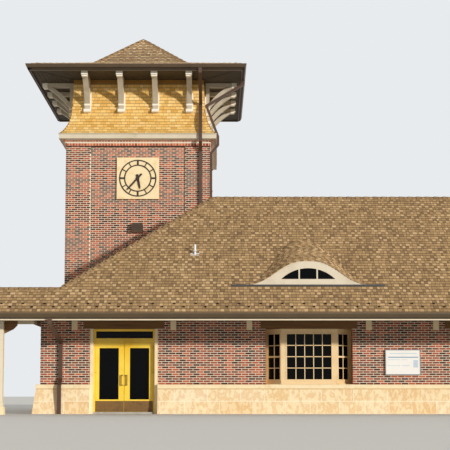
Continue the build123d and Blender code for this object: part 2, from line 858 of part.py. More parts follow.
def bell_face(drop, y):
    """The bell-shaped face, lowered by a drop, in an upright plane."""
    foot = slope_level(dormer_setback)
    steps = 12
    xs = [dormer_half_width * number / steps for number in range(-steps, steps + 1)]
    curve = Spline(*[(x, foot + bell_height(x) - drop) for x in xs])
    low = foot - dormer_height
    sides = Polyline((xs[-1], foot + bell_height(xs[-1]) - drop), (xs[-1], low), (xs[0], low),
                     (xs[0], foot + bell_height(xs[0]) - drop))
    plane = Plane(origin=(0, y, 0), x_dir=(1, 0, 0), z_dir=(0, -1, 0))
    return plane * make_face([curve, sides])


def hood_volume(drop, y):
    """The space under the hood's surface, lowered by a drop, from an upright plane inwards."""
    back = Vector(0, 1, dormer_hood_pitch).normalized()
    reach = 2 * dormer_height / (roof_pitch - dormer_hood_pitch)
    return extrude(bell_face(drop, y), amount=reach, dir=back)


def arch_face(margin, tip, y):
    """The low arched window in an upright plane, made smaller by a margin and at its tips."""
    foot = slope_level(dormer_setback) + dormer_window_sill + margin
    half = dormer_window_width / 2 - tip
    top = slope_level(dormer_setback) + dormer_window_sill + dormer_window_rise - margin
    arc = ThreePointArc((-half, foot), (0, top), (half, foot))
    base = Line((half, foot), (-half, foot))
    plane = Plane(origin=(0, y, 0), x_dir=(1, 0, 0), z_dir=(0, -1, 0))
    return plane * make_face([arc, base])


def eyebrow_dormer():
    """Curved hood and its face board, with the window cut through, on the front slope."""
    face_y = eave_front + dormer_setback
    hood = hood_volume(0, face_y) - hood_volume(dormer_hood_thickness, face_y + dormer_face_thickness)
    deck = Plane(origin=(0, eave_front, eave_level), z_dir=(0, -roof_pitch, 1))
    hood = split(hood, bisect_by=deck, keep=Keep.TOP)
    hole = extrude(arch_face(0, 0, face_y), amount=dormer_face_thickness, dir=(0, 1, 0))
    return hood - hole


def dormer_window():
    """Arched frame with two mullions, and the glass between them."""
    face_y = eave_front + dormer_setback
    back = (0, 1, 0)
    frame = extrude(arch_face(0, 0, face_y), amount=dormer_face_thickness, dir=back)
    opening = extrude(arch_face(dormer_frame_width, dormer_frame_tip, face_y), amount=dormer_face_thickness,
                      dir=back)
    for side in (-1, 1):
        x = side * dormer_mullion_offset
        half = dormer_frame_width / 2
        opening -= block(x - half, x + half, face_y, face_y + dormer_face_thickness, 0, tower_eave_level)
    sheet = extrude(arch_face(dormer_frame_width, dormer_frame_tip, face_y + dormer_glass_setback),
                    amount=glass_thickness, dir=back)
    return frame - opening, (sheet & opening).solids()


def vent_pipe():
    """Pipe with a flashing plate on the front slope."""
    x, y = -vent_offset, eave_front + vent_setback
    level = slope_level(vent_setback)
    deck = Plane(origin=(x, y, level), x_dir=(1, 0, 0), z_dir=(0, -roof_pitch, 1))
    plate = deck * Pos(0, 0, vent_flashing_thickness / 2) * Box(vent_flashing_width, vent_flashing_length,
                                                                vent_flashing_thickness)
    pipe = Pos(x, y, level) * Cylinder(vent_radius, 2 * vent_height)
    return plate + split(pipe, bisect_by=deck, keep=Keep.TOP)


def downspouts():
    """Downspouts of the hall and the tower, from the gutters to the ground or to the roof."""
    mid_gutter = eave_overhang - gutter_width / 2
    near = pipe_depth / 2
    out = base_foot_projection + pipe_depth / 2
    hall_path = [(mid_gutter, eave_level - gutter_width), (mid_gutter, fascia_bottom - pipe_depth),
                 (near, hall_pipe_elbow_level), (near, base_elbow_level),
                 (out, base_elbow_level - base_elbow_drop), (out, 0)]
    runs = []
    for x, wall_y, outward in ((hall_left + hall_pipe_inset, 0, -1), (hall_right - hall_pipe_inset, 0, -1),
                               (hall_right - hall_pipe_inset, hall_depth, 1)):
        runs += pipe_runs([(x, wall_y + outward * d, z) for d, z in hall_path], (1, 0, 0))
    clear = near + pipe_elbow_clearance
    upper_elbow = band_top_level - tower_elbow_drop
    tower_path = [(tower_overhang - gutter_width / 2, tower_eave_level - gutter_width),
                  (tower_overhang - gutter_width / 2, tower_fascia_bottom - pipe_depth),
                  (band_offset(upper_elbow) + clear, upper_elbow),
                  (cornice_projection + clear, cornice_top),
                  (cornice_projection + clear, tower_brick_level - corbel_band_height / 2),
                  (near, tower_brick_level - 2 * corbel_band_height)]
    front_foot = eave_level + roof_pitch * (eave_rear - tower_front + pipe_depth)
    side_foot = eave_level + roof_pitch * (eave_rear - tower_front - tower_pipe_inset + pipe_width)
    front_x = tower_right - tower_pipe_inset
    side_y = tower_front + tower_pipe_inset
    front_path, side_path = tower_path + [(near, front_foot)], tower_path + [(near, side_foot)]
    runs += pipe_runs([(front_x, tower_front - d, z) for d, z in front_path], (1, 0, 0))
    runs += pipe_runs([(tower_right + d, side_y, z) for d, z in side_path], (0, 1, 0))
    return runs


# Tower

def recessed(wall, outer_face, low, high):
    """Cuts the sunk panel between the pilasters in a wall's outer face."""
    (x0, x1), (y0, y1) = outer_face
    return wall - block(x0, x1, y0, y1, low, high)


def tower_walls():
    """Four brick walls; the front one stands on a beam, so the hall opens into the tower's foot."""
    t, r = wall_thickness, panel_recess
    beam_low = soffit_level - tower_beam_height
    panel_top = tower_brick_level - corbel_band_height
    x0, x1 = tower_left + pilaster_width, tower_right - pilaster_width
    y0, y1 = tower_front + pilaster_width, tower_rear - pilaster_width
    front = block(tower_left, tower_right, tower_front, tower_front + t, soffit_level, tower_brick_level)
    front = recessed(front, ((x0, x1), (tower_front, tower_front + r)), soffit_level, panel_top)
    rear = block(tower_left, tower_right, tower_rear - t, tower_rear, 0, tower_brick_level)
    rear = recessed(rear, ((x0, x1), (tower_rear - r, tower_rear)), base_top, panel_top)
    sides = []
    for outer, inner, sunk in ((tower_left, tower_left + t, tower_left + r),
                               (tower_right, tower_right - t, tower_right - r)):
        a, b = sorted((outer, inner))
        side = block(a, b, tower_front + t, tower_rear - t, 0, tower_brick_level)
        side += block(a, b, tower_front, tower_front + t, 0, beam_low)
        a, b = sorted((outer, sunk))
        low = soffit_level if outer == tower_right else base_top
        sides.append(recessed(side, ((a, b), (y0, y1)), low, panel_top))
    return front, rear, sides


def tower_beam():
    """Timber beam under the tower's front wall."""
    return block(tower_left, tower_right, tower_front + joint, tower_front + wall_thickness - joint,
                 soffit_level - tower_beam_height, soffit_level)


def corbel_band():
    """Brick band that steps out in a hollow curve under the cornice."""
    low, high, out = tower_brick_level - corbel_band_height, tower_brick_level, corbel_band_projection
    chords = 5
    angles = [math.pi / 2 * number / chords for number in range(chords + 1)]
    hollow = [(out * (1 - math.cos(angle)), low + corbel_band_height * math.sin(angle)) for angle in angles]
    return square_ring(outline(hollow + [(0, high)]), tower_centre, tower_half)


def cornice():
    """Painted cornice on the wall tops."""
    profile = outline([(-wall_thickness, tower_brick_level), (cornice_projection, tower_brick_level),
                       (cornice_projection, cornice_top), (-wall_thickness, cornice_top)])
    return square_ring(profile, tower_centre, tower_half)


def band_offset(level):
    """How far the shingle band's face stands outside the brick face, at a level."""
    flare = cornice_projection + band_top_inset
    return flare * math.exp(-(level - cornice_top) / band_flare_height) - band_top_inset


def shingle_band():
    """Flared wall between the cornice and the soffit, wide at its foot."""
    flare_steps, upper_steps = 7, 2
    foot = band_top_level - bracket_height
    levels = [cornice_top + (foot - cornice_top) * number / flare_steps for number in range(flare_steps)]
    levels += [foot + bracket_height * number / upper_steps for number in range(upper_steps + 1)]
    outer = [(band_offset(level), level) for level in levels]
    inner = [(distance - band_thickness, level) for distance, level in reversed(outer)]
    return square_ring(outline(outer + inner), tower_centre, tower_half)


def brace_edge(inset):
    """Hollow-curved edge of a bracket's brace, moved up and inwards by an inset."""
    low = Vector(bracket_leg, bracket_brace_foot - bracket_height + inset)
    high = Vector(bracket_reach - bracket_nose - inset, -bracket_arm)
    middle = (low + high) / 2 + Vector(-bracket_sag, bracket_sag)
    return low, high, ThreePointArc(high, middle, low)


def bracket(place, outward):
    """Open bracket under the tower's soffit: an arm, a leg and a brace between them."""
    leg, arm = bracket_leg, bracket_arm
    reach, drop = bracket_reach, bracket_height
    low, high, edge = brace_edge(0)
    rest = Polyline(low, (leg, -drop), (0, -drop), (0, 0), (reach, 0), (reach, -arm), high)
    inner_low, inner_high, inner_edge = brace_edge(bracket_brace)
    inner_rest = Polyline(inner_low, (leg, -arm), inner_high)
    x, y = place
    plane = Plane(origin=(x, y, band_top_level), x_dir=(*outward, 0), z_dir=(outward[1], -outward[0], 0))
    solid = extrude(plane * make_face([edge, rest]), amount=bracket_thickness / 2, both=True)
    hole = extrude(plane * make_face([inner_edge, inner_rest]), amount=bracket_thickness / 2, both=True)
    return solid - hole


def tower_brackets():
    """A row of brackets on each side of the tower, against the shingle band."""
    first = -bracket_spacing * (bracket_count - 1) / 2
    seat = tower_half + band_offset(band_top_level - bracket_height)
    x, y = tower_centre
    brackets = []
    for number in range(bracket_count):
        along = first + number * bracket_spacing
        brackets += [bracket((x + along, y - seat), (0, -1)), bracket((x + along, y + seat), (0, 1)),
                     bracket((x - seat, y + along), (-1, 0)), bracket((x + seat, y + along), (1, 0))]
    return brackets


def tower_roof():
    """Four slopes that are flatter at the foot."""
    pitch, run, thickness = tower_low_pitch, tower_low_run, tower_roof_thickness
    edge = gutter_width - gutter_lap
    peak_run = tower_eave_half - tower_peak_half_width
    break_level = tower_eave_level + pitch * run
    peak = break_level + tower_high_pitch * (peak_run - run)
    top = [(-edge, tower_eave_level + pitch * edge), (-run, break_level), (-peak_run, peak)]
    bottom = [(d, z - thickness) for d, z in reversed(top)]
    return square_ring(outline(top + bottom), tower_centre, tower_eave_half)


# Clock and wall light

def on_tower_side(solids, quarter_turns):
    """Moves solids from the middle of the front panel face to another side of the tower."""
    x, y = tower_centre
    depth = tower_half - panel_recess
    return [Pos(x, y, clock_level) * Rot(0, 0, 90 * quarter_turns) * Pos(0, -depth, 0) * solid
            for solid in solids]


def round_plate(radius, front, thickness):
    """A disc on the clock's axis, from a distance in front of the sunk wall panel."""
    return Pos(0, -front - thickness / 2, 0) * Rot(90, 0, 0) * Cylinder(radius, thickness)


def clock_panel():
    """Square stone panel."""
    half = clock_panel_size / 2
    return block(-half, half, -clock_panel_thickness, 0, -half, half)


def dial():
    """Two metal rings joined by twelve radial marks."""
    outer, inner, width = dial_outer_radius, dial_inner_radius, dial_ring_width
    front, thick = clock_panel_thickness, dial_thickness
    rings = round_plate(outer, front, thick) - round_plate(outer - width, front, thick)
    rings += round_plate(inner, front, thick) - round_plate(inner - width, front, thick)
    for hour in range(12):
        side = (dial_quarter_mark_width if hour % 3 == 0 else dial_mark_width) / 2
        mark = block(-side, side, -front - thick, -front, inner - width / 2, outer - width / 2)
        rings += Rot(0, 30 * hour, 0) * mark
    return rings


def arbor():
    """Fixed shaft that the hands turn on, with a cap."""
    shaft = round_plate(arbor_radius, clock_panel_thickness, arbor_length)
    head = round_plate(arbor_head_radius, clock_panel_thickness + arbor_length, arbor_head_thickness)
    return shaft + head


def hand(length, tail, width, tip_width, angle, front):
    """Tapered hand with a short tail, turned clockwise by an angle from twelve."""
    base, tip = width / 2, tip_width / 2
    shape = outline([(-base, 0), (-base, -tail), (base, -tail), (base, 0), (tip, length - width),
                     (0, length), (-tip, length - width)])
    plane = Plane(origin=(0, -front, 0), x_dir=(1, 0, 0), z_dir=(0, -1, 0))
    plate = extrude(plane * shape, amount=hand_thickness)
    plate += round_plate(hand_hub_radius, front, hand_thickness)
    plate -= round_plate(arbor_radius + hand_bore_clearance, front, hand_thickness)
    return Rot(0, angle, 0) * plate


def hands():
    """Hour hand and minute hand on the arbor."""
    hour_front = clock_panel_thickness + dial_thickness + hand_gap
    minute_front = hour_front + hand_thickness + hand_gap
    hour = hand(hour_hand_length, hour_hand_tail, hour_hand_width, hour_hand_tip_width,
                hour_hand_angle, hour_front)
    minute = hand(minute_hand_length, minute_hand_tail, minute_hand_width, minute_hand_tip_width,
                  minute_hand_angle, minute_front)
    return hour, minute


def clocks():
    """A dial on each side of the tower; the hands turn on the front one."""
    hour, minute = hands()
    export("clock_panels", [p for side in range(4) for p in on_tower_side([clock_panel()], side)])
    export("clock_dials", [d for side in range(4) for d in on_tower_side([dial()], side)])
    export("clock_arbors", [a for side in range(4) for a in on_tower_side([arbor()], side)])
    export("hour_hand", on_tower_side([hour], 0))
    export("minute_hand", on_tower_side([minute], 0))
    export("fixed_clock_hands", [h for side in (1, 2, 3) for h in on_tower_side([hour, minute], side)])


def wall_light():
    """Bronze box light on the sunk panel, wider at its foot."""
    x = tower_centre[0]
    front = tower_front + panel_recess
    top_half, foot_half = light_top_width / 2, light_width / 2
    low, high = light_level - light_height / 2, light_level + light_height / 2
    face = outline([(x - foot_half, low), (x + foot_half, low), (x + top_half, high), (x - top_half, high)])
    plane = Plane(origin=(0, front, 0), x_dir=(1, 0, 0), z_dir=(0, -1, 0))
    return extrude(plane * face, amount=light_depth)


os.makedirs("parts", exist_ok=True)
export("front_wall", front_wall())
export("rear_wall", [rear_wall()])
export("end_walls", end_walls())
export("floor", hall_floor())
export("ceiling", ceiling())
export("base_stones", base_stones())
export("base_caps", base_caps())
export("corbel_blocks", corbel_blocks())
doors()
windows()
export("notice_board", [notice_board()])
export("main_roof", main_roof())
export("canopy_roof", canopy_roof())
export("soffits", soffits())
roof_edges()
export("timber_beams", hall_beams() + [tower_beam(), canopy_supports()])
dormer_place = Pos(dormer_offset, 0, 0)
export("eyebrow_dormer", [dormer_place * eyebrow_dormer()])
dormer_frame, dormer_panes = dormer_window()
export("dormer_window_frame", [dormer_place * dormer_frame])
export("dormer_window_glass", [dormer_place * pane for pane in dormer_panes])
export("vent_pipe", [vent_pipe()])
export("downspouts", downspouts())
tower_front_wall, tower_rear_wall, tower_side_walls = tower_walls()
export("tower_front_wall", [tower_front_wall])
export("tower_rear_wall", [tower_rear_wall])
export("tower_side_walls", tower_side_walls)
export("tower_corbel_band", corbel_band())
export("tower_cornice", cornice())
export("tower_shingle_band", shingle_band())
export("tower_brackets", tower_brackets())
export("tower_roof", tower_roof())
clocks()
export("wall_light", [wall_light()])
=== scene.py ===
import functools
import math
import random

import bmesh
import bpy
from mathutils import Matrix, Vector


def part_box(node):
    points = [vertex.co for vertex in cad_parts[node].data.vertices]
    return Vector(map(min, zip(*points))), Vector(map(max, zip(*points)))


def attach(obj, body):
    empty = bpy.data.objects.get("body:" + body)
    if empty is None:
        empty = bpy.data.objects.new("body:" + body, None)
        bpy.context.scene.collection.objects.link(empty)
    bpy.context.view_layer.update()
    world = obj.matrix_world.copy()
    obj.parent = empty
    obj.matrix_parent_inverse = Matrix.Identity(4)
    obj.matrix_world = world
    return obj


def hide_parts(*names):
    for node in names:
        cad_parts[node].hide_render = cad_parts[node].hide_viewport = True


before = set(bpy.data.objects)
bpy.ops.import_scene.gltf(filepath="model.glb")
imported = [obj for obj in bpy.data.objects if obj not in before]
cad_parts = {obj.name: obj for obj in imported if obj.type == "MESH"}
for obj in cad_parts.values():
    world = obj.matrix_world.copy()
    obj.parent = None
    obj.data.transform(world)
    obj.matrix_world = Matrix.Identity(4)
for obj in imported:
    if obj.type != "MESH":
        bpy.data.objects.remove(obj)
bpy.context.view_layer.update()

# The place where the building stands for its picture: a plain pale floor, an even pale
# surround and one wide soft lamp from the front right. The lens looks up slightly, from
# low down and well in front of the building.
scene = bpy.context.scene
scene.view_settings.view_transform = "Standard"


def step(tree, kind, feeds=None, **settings):
    """Adds a node; a feed is a plain value or the output of another node."""
    made = tree.nodes.new(kind)
    for name, value in settings.items():
        setattr(made, name, value)
    for key, feed in (feeds or {}).items():
        if isinstance(feed, bpy.types.NodeSocket):
            tree.links.new(feed, made.inputs[key])
        else:
            made.inputs[key].default_value = feed
    return made


def paint(code):
    """A paint from its usual six-figure code, as the linear light that a shader takes."""
    parts = [int(code[n:n + 2], 16) / 255 for n in (0, 2, 4)]
    return [p / 12.92 if p < 0.04045 else ((p + 0.055) / 1.055) ** 2.4 for p in parts] + [1]


floor_reach, floor_drop = 160, 0.002
floor_mesh = bpy.data.meshes.new("studio_floor")
floor_mesh.from_pydata([(x * floor_reach, y * floor_reach, -floor_drop) for x, y in
                        ((-1, -1), (1, -1), (1, 1), (-1, 1))], [], [(0, 1, 2, 3)])
studio_floor = bpy.data.objects.new("studio_floor", floor_mesh)
scene.collection.objects.link(studio_floor)
pale = bpy.data.materials.new("studio_floor")
pale.use_nodes = True
pale.node_tree.nodes["Principled BSDF"].inputs["Base Color"].default_value = paint("e3e1dc")
pale.node_tree.nodes["Principled BSDF"].inputs["Roughness"].default_value = 0.9
floor_mesh.materials.append(pale)

surround = bpy.data.worlds.new("studio_surround")
surround.use_nodes = True
air = surround.node_tree
ray = step(air, "ShaderNodeLightPath")
seen = ray.outputs["Is Camera Ray"]
for other_ray in ("Is Transmission Ray", "Is Glossy Ray"):
    feeds = {0: seen, 1: ray.outputs[other_ray]}
    seen = step(air, "ShaderNodeMath", feeds, operation="MAXIMUM").outputs[0]
glow = step(air, "ShaderNodeBackground", {"Color": paint("fbfaf6"), "Strength": 0.5})
backdrop = step(air, "ShaderNodeBackground", {"Color": paint("e8ebee"), "Strength": 1.0})
blend = step(air, "ShaderNodeMixShader", {0: seen, 1: glow.outputs[0], 2: backdrop.outputs[0]})
air.links.new(blend.outputs[0], air.nodes["World Output"].inputs["Surface"])
scene.world = surround

lamp = bpy.data.objects.new("key_lamp", bpy.data.lights.new("key_lamp", "SUN"))
lamp.data.energy = 3.0
lamp.data.angle = math.radians(2.5)
lamp.data.color = (1.0, 0.975, 0.93)
lamp_side, lamp_height = math.radians(41), math.radians(11)
towards_lamp = Vector((math.sin(lamp_side) * math.cos(lamp_height),
                       -math.cos(lamp_side) * math.cos(lamp_height), math.sin(lamp_height)))
lamp.rotation_euler = towards_lamp.to_track_quat("Z", "Y").to_euler()
scene.collection.objects.link(lamp)

camera = bpy.data.objects.new("camera", bpy.data.cameras.new("camera"))
camera.data.sensor_width = 36
camera.data.lens = 89.6
camera.data.shift_x = 0.018
camera.data.shift_y = 0.156
camera.data.clip_end = 400
camera.location = (0.215, -37.205, 0.60)
look_up = 5
camera.rotation_euler = (math.radians(90 + look_up), 0, 0)
scene.collection.objects.link(camera)
scene.camera = camera

# Brick walls of the hall and the tower: hard-burnt red and brown bricks, laid in running
# bond in pale lime mortar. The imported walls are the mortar; each brick is a block of its
# own that stands a few millimetres out of the joint, cut where the wall ends.
brick_module, brick_course = 0.2032, 0.0677
brick_joint, brick_proud, brick_lap, pier_lap = 0.016, 0.004, 0.0045, -0.002


def laying_tree():
    """Lays pieces in courses along a profile, which is the tree's own mesh, seen end on."""
    tree = bpy.data.node_groups.new("laid_in_courses", "GeometryNodeTree")
    tree.interface.new_socket("Profile", in_out="INPUT", socket_type="NodeSocketGeometry")
    sizes = {"Object": ("Piece", "Covered By"), "Material": ("Material",), "Vector": ("Place",),
             "Int": ("Courses", "First Course", "Columns", "First Column", "Seed"),
             "Float": ("Course Height", "Module", "Joint", "Height", "Thickness", "Thickness Spread",
                       "Stagger", "Width Spread", "Alternation", "Left", "Left Lean", "Right",
                       "Right Lean", "Smallest", "Turn")}
    for kind, names in sizes.items():
        for name in names:
            tree.interface.new_socket(name, in_out="INPUT", socket_type="NodeSocket" + kind)
    tree.interface.new_socket("Laid", in_out="OUTPUT", socket_type="NodeSocketGeometry")
    size = step(tree, "NodeGroupInput").outputs

    def first(kind, feeds=None, **settings):
        return step(tree, kind, feeds, **settings).outputs[0]

    def sum_of(operation, *values):
        return first("ShaderNodeMath", dict(enumerate(values)), operation=operation)

    add, take, times = (functools.partial(sum_of, kind) for kind in ("ADD", "SUBTRACT", "MULTIPLY"))
    spots = first("GeometryNodePoints", {"Count": times(size["Courses"], size["Columns"])})
    number = first("GeometryNodeInputIndex")
    row = sum_of("FLOOR", sum_of("DIVIDE", add(number, 0.5), size["Columns"]))
    column = add(take(number, times(row, size["Columns"])), size["First Column"])
    course = add(row, size["First Course"])
    line = first("GeometryNodeMeshToCurve", {"Mesh": size["Profile"]})
    along = times(row, size["Course Height"])
    sample = step(tree, "GeometryNodeSampleCurve", {"Curves": line, "Length": along},
                  mode="LENGTH", use_all_curves=True).outputs
    here = step(tree, "ShaderNodeSeparateXYZ", {0: sample["Position"]}).outputs
    climb = step(tree, "ShaderNodeSeparateXYZ", {0: sample["Tangent"]}).outputs
    tilt = sum_of("ARCTAN2", times(climb["Y"], -1.0), climb["Z"])
    shift = times(size["Stagger"], sum_of("FLOORED_MODULO", course, 2.0))
    # each piece has a number of its own, with room for so many columns in a course
    room = 4096.0
    serial = add(times(course, room), add(column, room / 2))

    def chance(low, high, offset, seed_shift):
        feeds = {2: low, 3: high, "ID": add(serial, offset), "Seed": add(size["Seed"], seed_shift)}
        return step(tree, "FunctionNodeRandomValue", feeds, data_type="FLOAT").outputs[1]

    def edge(offset):
        spread = size["Width Spread"]
        plain = times(add(add(column, offset), shift), size["Module"])
        return add(plain, chance(times(spread, -1.0), spread, offset, 1.0))

    # neighbours take a light and a dark part of the tones in turn, as far as Alternation says
    in_turn = times(size["Alternation"], sum_of("FLOORED_MODULO", add(column, course), 2.0))
    own_part = take(1.0, size["Alternation"])
    tone = add(in_turn, times(own_part, chance(0.0, 1.0, 0.0, 3.0)))
    half_joint = times(size["Joint"], 0.5)
    head = add(here["Y"], times(size["Height"], climb["Y"]))
    left_end = add(size["Left"], times(size["Left Lean"], head))
    right_end = add(size["Right"], times(size["Right Lean"], head))
    left = sum_of("MAXIMUM", add(edge(0.0), half_joint), left_end)
    right = sum_of("MINIMUM", take(edge(1.0), half_joint), right_end)
    width = take(right, left)
    spot = first("ShaderNodeCombineXYZ", {0: times(add(left, right), 0.5), 1: here["Y"], 2: here["Z"]})
    # a piece is left out where the covering node lies above a point just outside it
    outside = first("ShaderNodeVectorMath", {0: spot, 1: (0, -0.02, 0.01)}, operation="ADD")
    turned = first("ShaderNodeVectorRotate", {"Vector": outside, "Angle": size["Turn"]},
                   rotation_type="Z_AXIS")
    world = first("ShaderNodeVectorMath", {0: turned, 1: size["Place"]}, operation="ADD")
    cover = step(tree, "GeometryNodeObjectInfo", {"Object": size["Covered By"]}).outputs["Geometry"]
    feeds = {"Target Geometry": cover, "Source Position": world, "Ray Direction": (0, 0, 1),
             "Ray Length": 30.0}
    hit = step(tree, "GeometryNodeRaycast", feeds).outputs["Is Hit"]
    narrow = first("FunctionNodeCompare", {0: width, 1: size["Smallest"]}, operation="LESS_THAN")
    gone = first("FunctionNodeBooleanMath", {0: hit, 1: narrow}, operation="OR")
    spots = first("GeometryNodeSetPosition", {"Geometry": spots, "Position": spot})
    # the sizes are kept on the spots, because removing some changes the numbers of the rest
    kept = {}
    thick = chance(take(size["Thickness"], size["Thickness Spread"]),
                   add(size["Thickness"], size["Thickness Spread"]), 0.0, 2.0)
    extent = first("ShaderNodeCombineXYZ", {0: width, 1: thick, 2: size["Height"]})
    lean = first("ShaderNodeCombineXYZ", {0: tilt})
    for name, kind, value in (("extent", "FLOAT_VECTOR", extent), ("lean", "FLOAT_VECTOR", lean),
                              ("tone", "FLOAT", tone)):
        spots = first("GeometryNodeStoreNamedAttribute",
                      {"Geometry": spots, "Name": name, "Value": value}, data_type=kind)
        kept[name] = first("GeometryNodeInputNamedAttribute", {"Name": name}, data_type=kind)
    spots = first("GeometryNodeDeleteGeometry", {"Geometry": spots, "Selection": gone})
    block = step(tree, "GeometryNodeObjectInfo", {"Object": size["Piece"]}).outputs["Geometry"]
    laid = first("GeometryNodeInstanceOnPoints", {"Points": spots, "Instance": block,
                                                  "Rotation": kept["lean"], "Scale": kept["extent"]})
    spin = first("ShaderNodeCombineXYZ", {2: size["Turn"]})
    laid = first("GeometryNodeTransform", {"Geometry": laid, "Translation": size["Place"],
                                           "Rotation": spin})
    laid = first("GeometryNodeRealizeInstances", {"Geometry": laid})
    laid = first("GeometryNodeSetMaterial", {"Geometry": laid, "Material": size["Material"]})
    tree.links.new(laid, step(tree, "NodeGroupOutput").inputs[0])
    return tree


laid_in_courses = laying_tree()


def grown(tree, host_mesh, sizes):
    """Runs a tree on a mesh and gives back the plain mesh that it makes."""
    host = bpy.data.objects.new("host", host_mesh)
    scene.collection.objects.link(host)
    modifier = host.modifiers.new("made", "NODES")
    modifier.node_group = tree
    for item in tree.interface.items_tree:
        if item.in_out == "INPUT" and item.name in sizes:
            modifier[item.identifier] = sizes[item.name]
    reached = host.evaluated_get(bpy.context.evaluated_depsgraph_get())
    mesh = bpy.data.meshes.new_from_object(reached)
    bpy.data.objects.remove(host)
    return mesh


def pattern_piece(name, corners, faces):
    """A hidden shape that a tree repeats; it remembers how far up itself each corner is."""
    mesh = bpy.data.meshes.new(name)
    mesh.from_pydata(corners, [], faces)
    mesh.attributes.new("rise", "FLOAT", "POINT").data.foreach_set("value", [z for x, y, z in corners])
    return bpy.data.objects.new(name, mesh)


def wedge(name, foot, head, back):
    """A block one unit wide and high that stands out by foot at the bottom and head at the top."""
    corners = [(x, y, z) for x in (-0.5, 0.5) for y, z in ((-foot, 0), (-head, 1), (back, 1), (back, 0))]
    faces = [(0, 1, 2, 3), (7, 6, 5, 4), (0, 4, 5, 1), (1, 5, 6, 2), (2, 6, 7, 3), (3, 7, 4, 0)]
    return pattern_piece(name, corners, faces)


def line_length(line):
    """How long a line of straight stretches is."""
    return sum(math.dist(a, b) for a, b in zip(line, line[1:]))


def lay(piece, material, profile, left, right, module, turn, place, **sizes):
    """One field of courses: its profile is given as distance inward and level from the place."""
    line = bpy.data.meshes.new("profile")
    line.from_pydata([(0, inward, level) for inward, level in profile],
                     [(n, n + 1) for n in range(len(profile) - 1)], [])
    height, slack = sizes["Course Height"], 1e-6
    depth = max(inward for inward, level in profile)
    lows = [left, left + sizes.get("Left Lean", 0) * depth]
    highs = [right, right + sizes.get("Right Lean", 0) * depth]
    given = {"Piece": piece, "Material": material, "Left": left, "Right": right, "Module": module,
             "Turn": turn, "Place": place, "Courses": math.ceil(line_length(profile) / height - slack),
             "First Column": math.floor(min(lows) / module) - 1,
             "Columns": math.ceil((max(highs) - min(lows)) / module) + 3, "Joint": 0.0, "Height": height,
             "Stagger": 0.5, "Smallest": 0.012, "Seed": 11}
    given.update(sizes)
    for whole in ("Left", "Right", "Module", "Turn"):
        given[whole] = float(given[whole])
    return grown(laid_in_courses, line, given)


def fitted(name, meshes, body="root", replaces=()):
    """Joins meshes into one piece that rides on a body and takes its finish from a slot."""
    objects = []
    for mesh in meshes:
        objects.append(bpy.data.objects.new(name, mesh))
        scene.collection.objects.link(objects[-1])
    if len(objects) > 1:
        with bpy.context.temp_override(active_object=objects[0], selected_objects=objects,
                                       selected_editable_objects=objects):
            bpy.ops.object.join()
    whole = objects[0]
    whole.name = whole.data.name = name
    for extra in [a.name for a in whole.data.attributes if a.name in ("extent", "lean")]:
        whole.data.attributes.remove(whole.data.attributes[extra])
    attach(whole, body)
    if replaces:
        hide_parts(*replaces)


widest = 14.0


def colour_ramp(tree, feed, colours, low, high):
    """Colours at even distances along a value."""
    ramp = step(tree, "ShaderNodeValToRGB", {0: feed})
    stops = ramp.color_ramp.elements
    stops.remove(stops[1])
    stops[0].position, stops[0].color = low, paint(colours[0])
    for n, colour in enumerate(colours[1:], 1):
        stops.new(low + (high - low) * n / (len(colours) - 1)).color = paint(colour)
    return ramp.outputs[0]


def mixed(tree, share, first, second, way="MIX"):
    """A second colour over a first by its share."""
    return step(tree, "ShaderNodeMix", {0: share, 6: first, 7: second}, data_type="RGBA",
                blend_type=way).outputs[2]


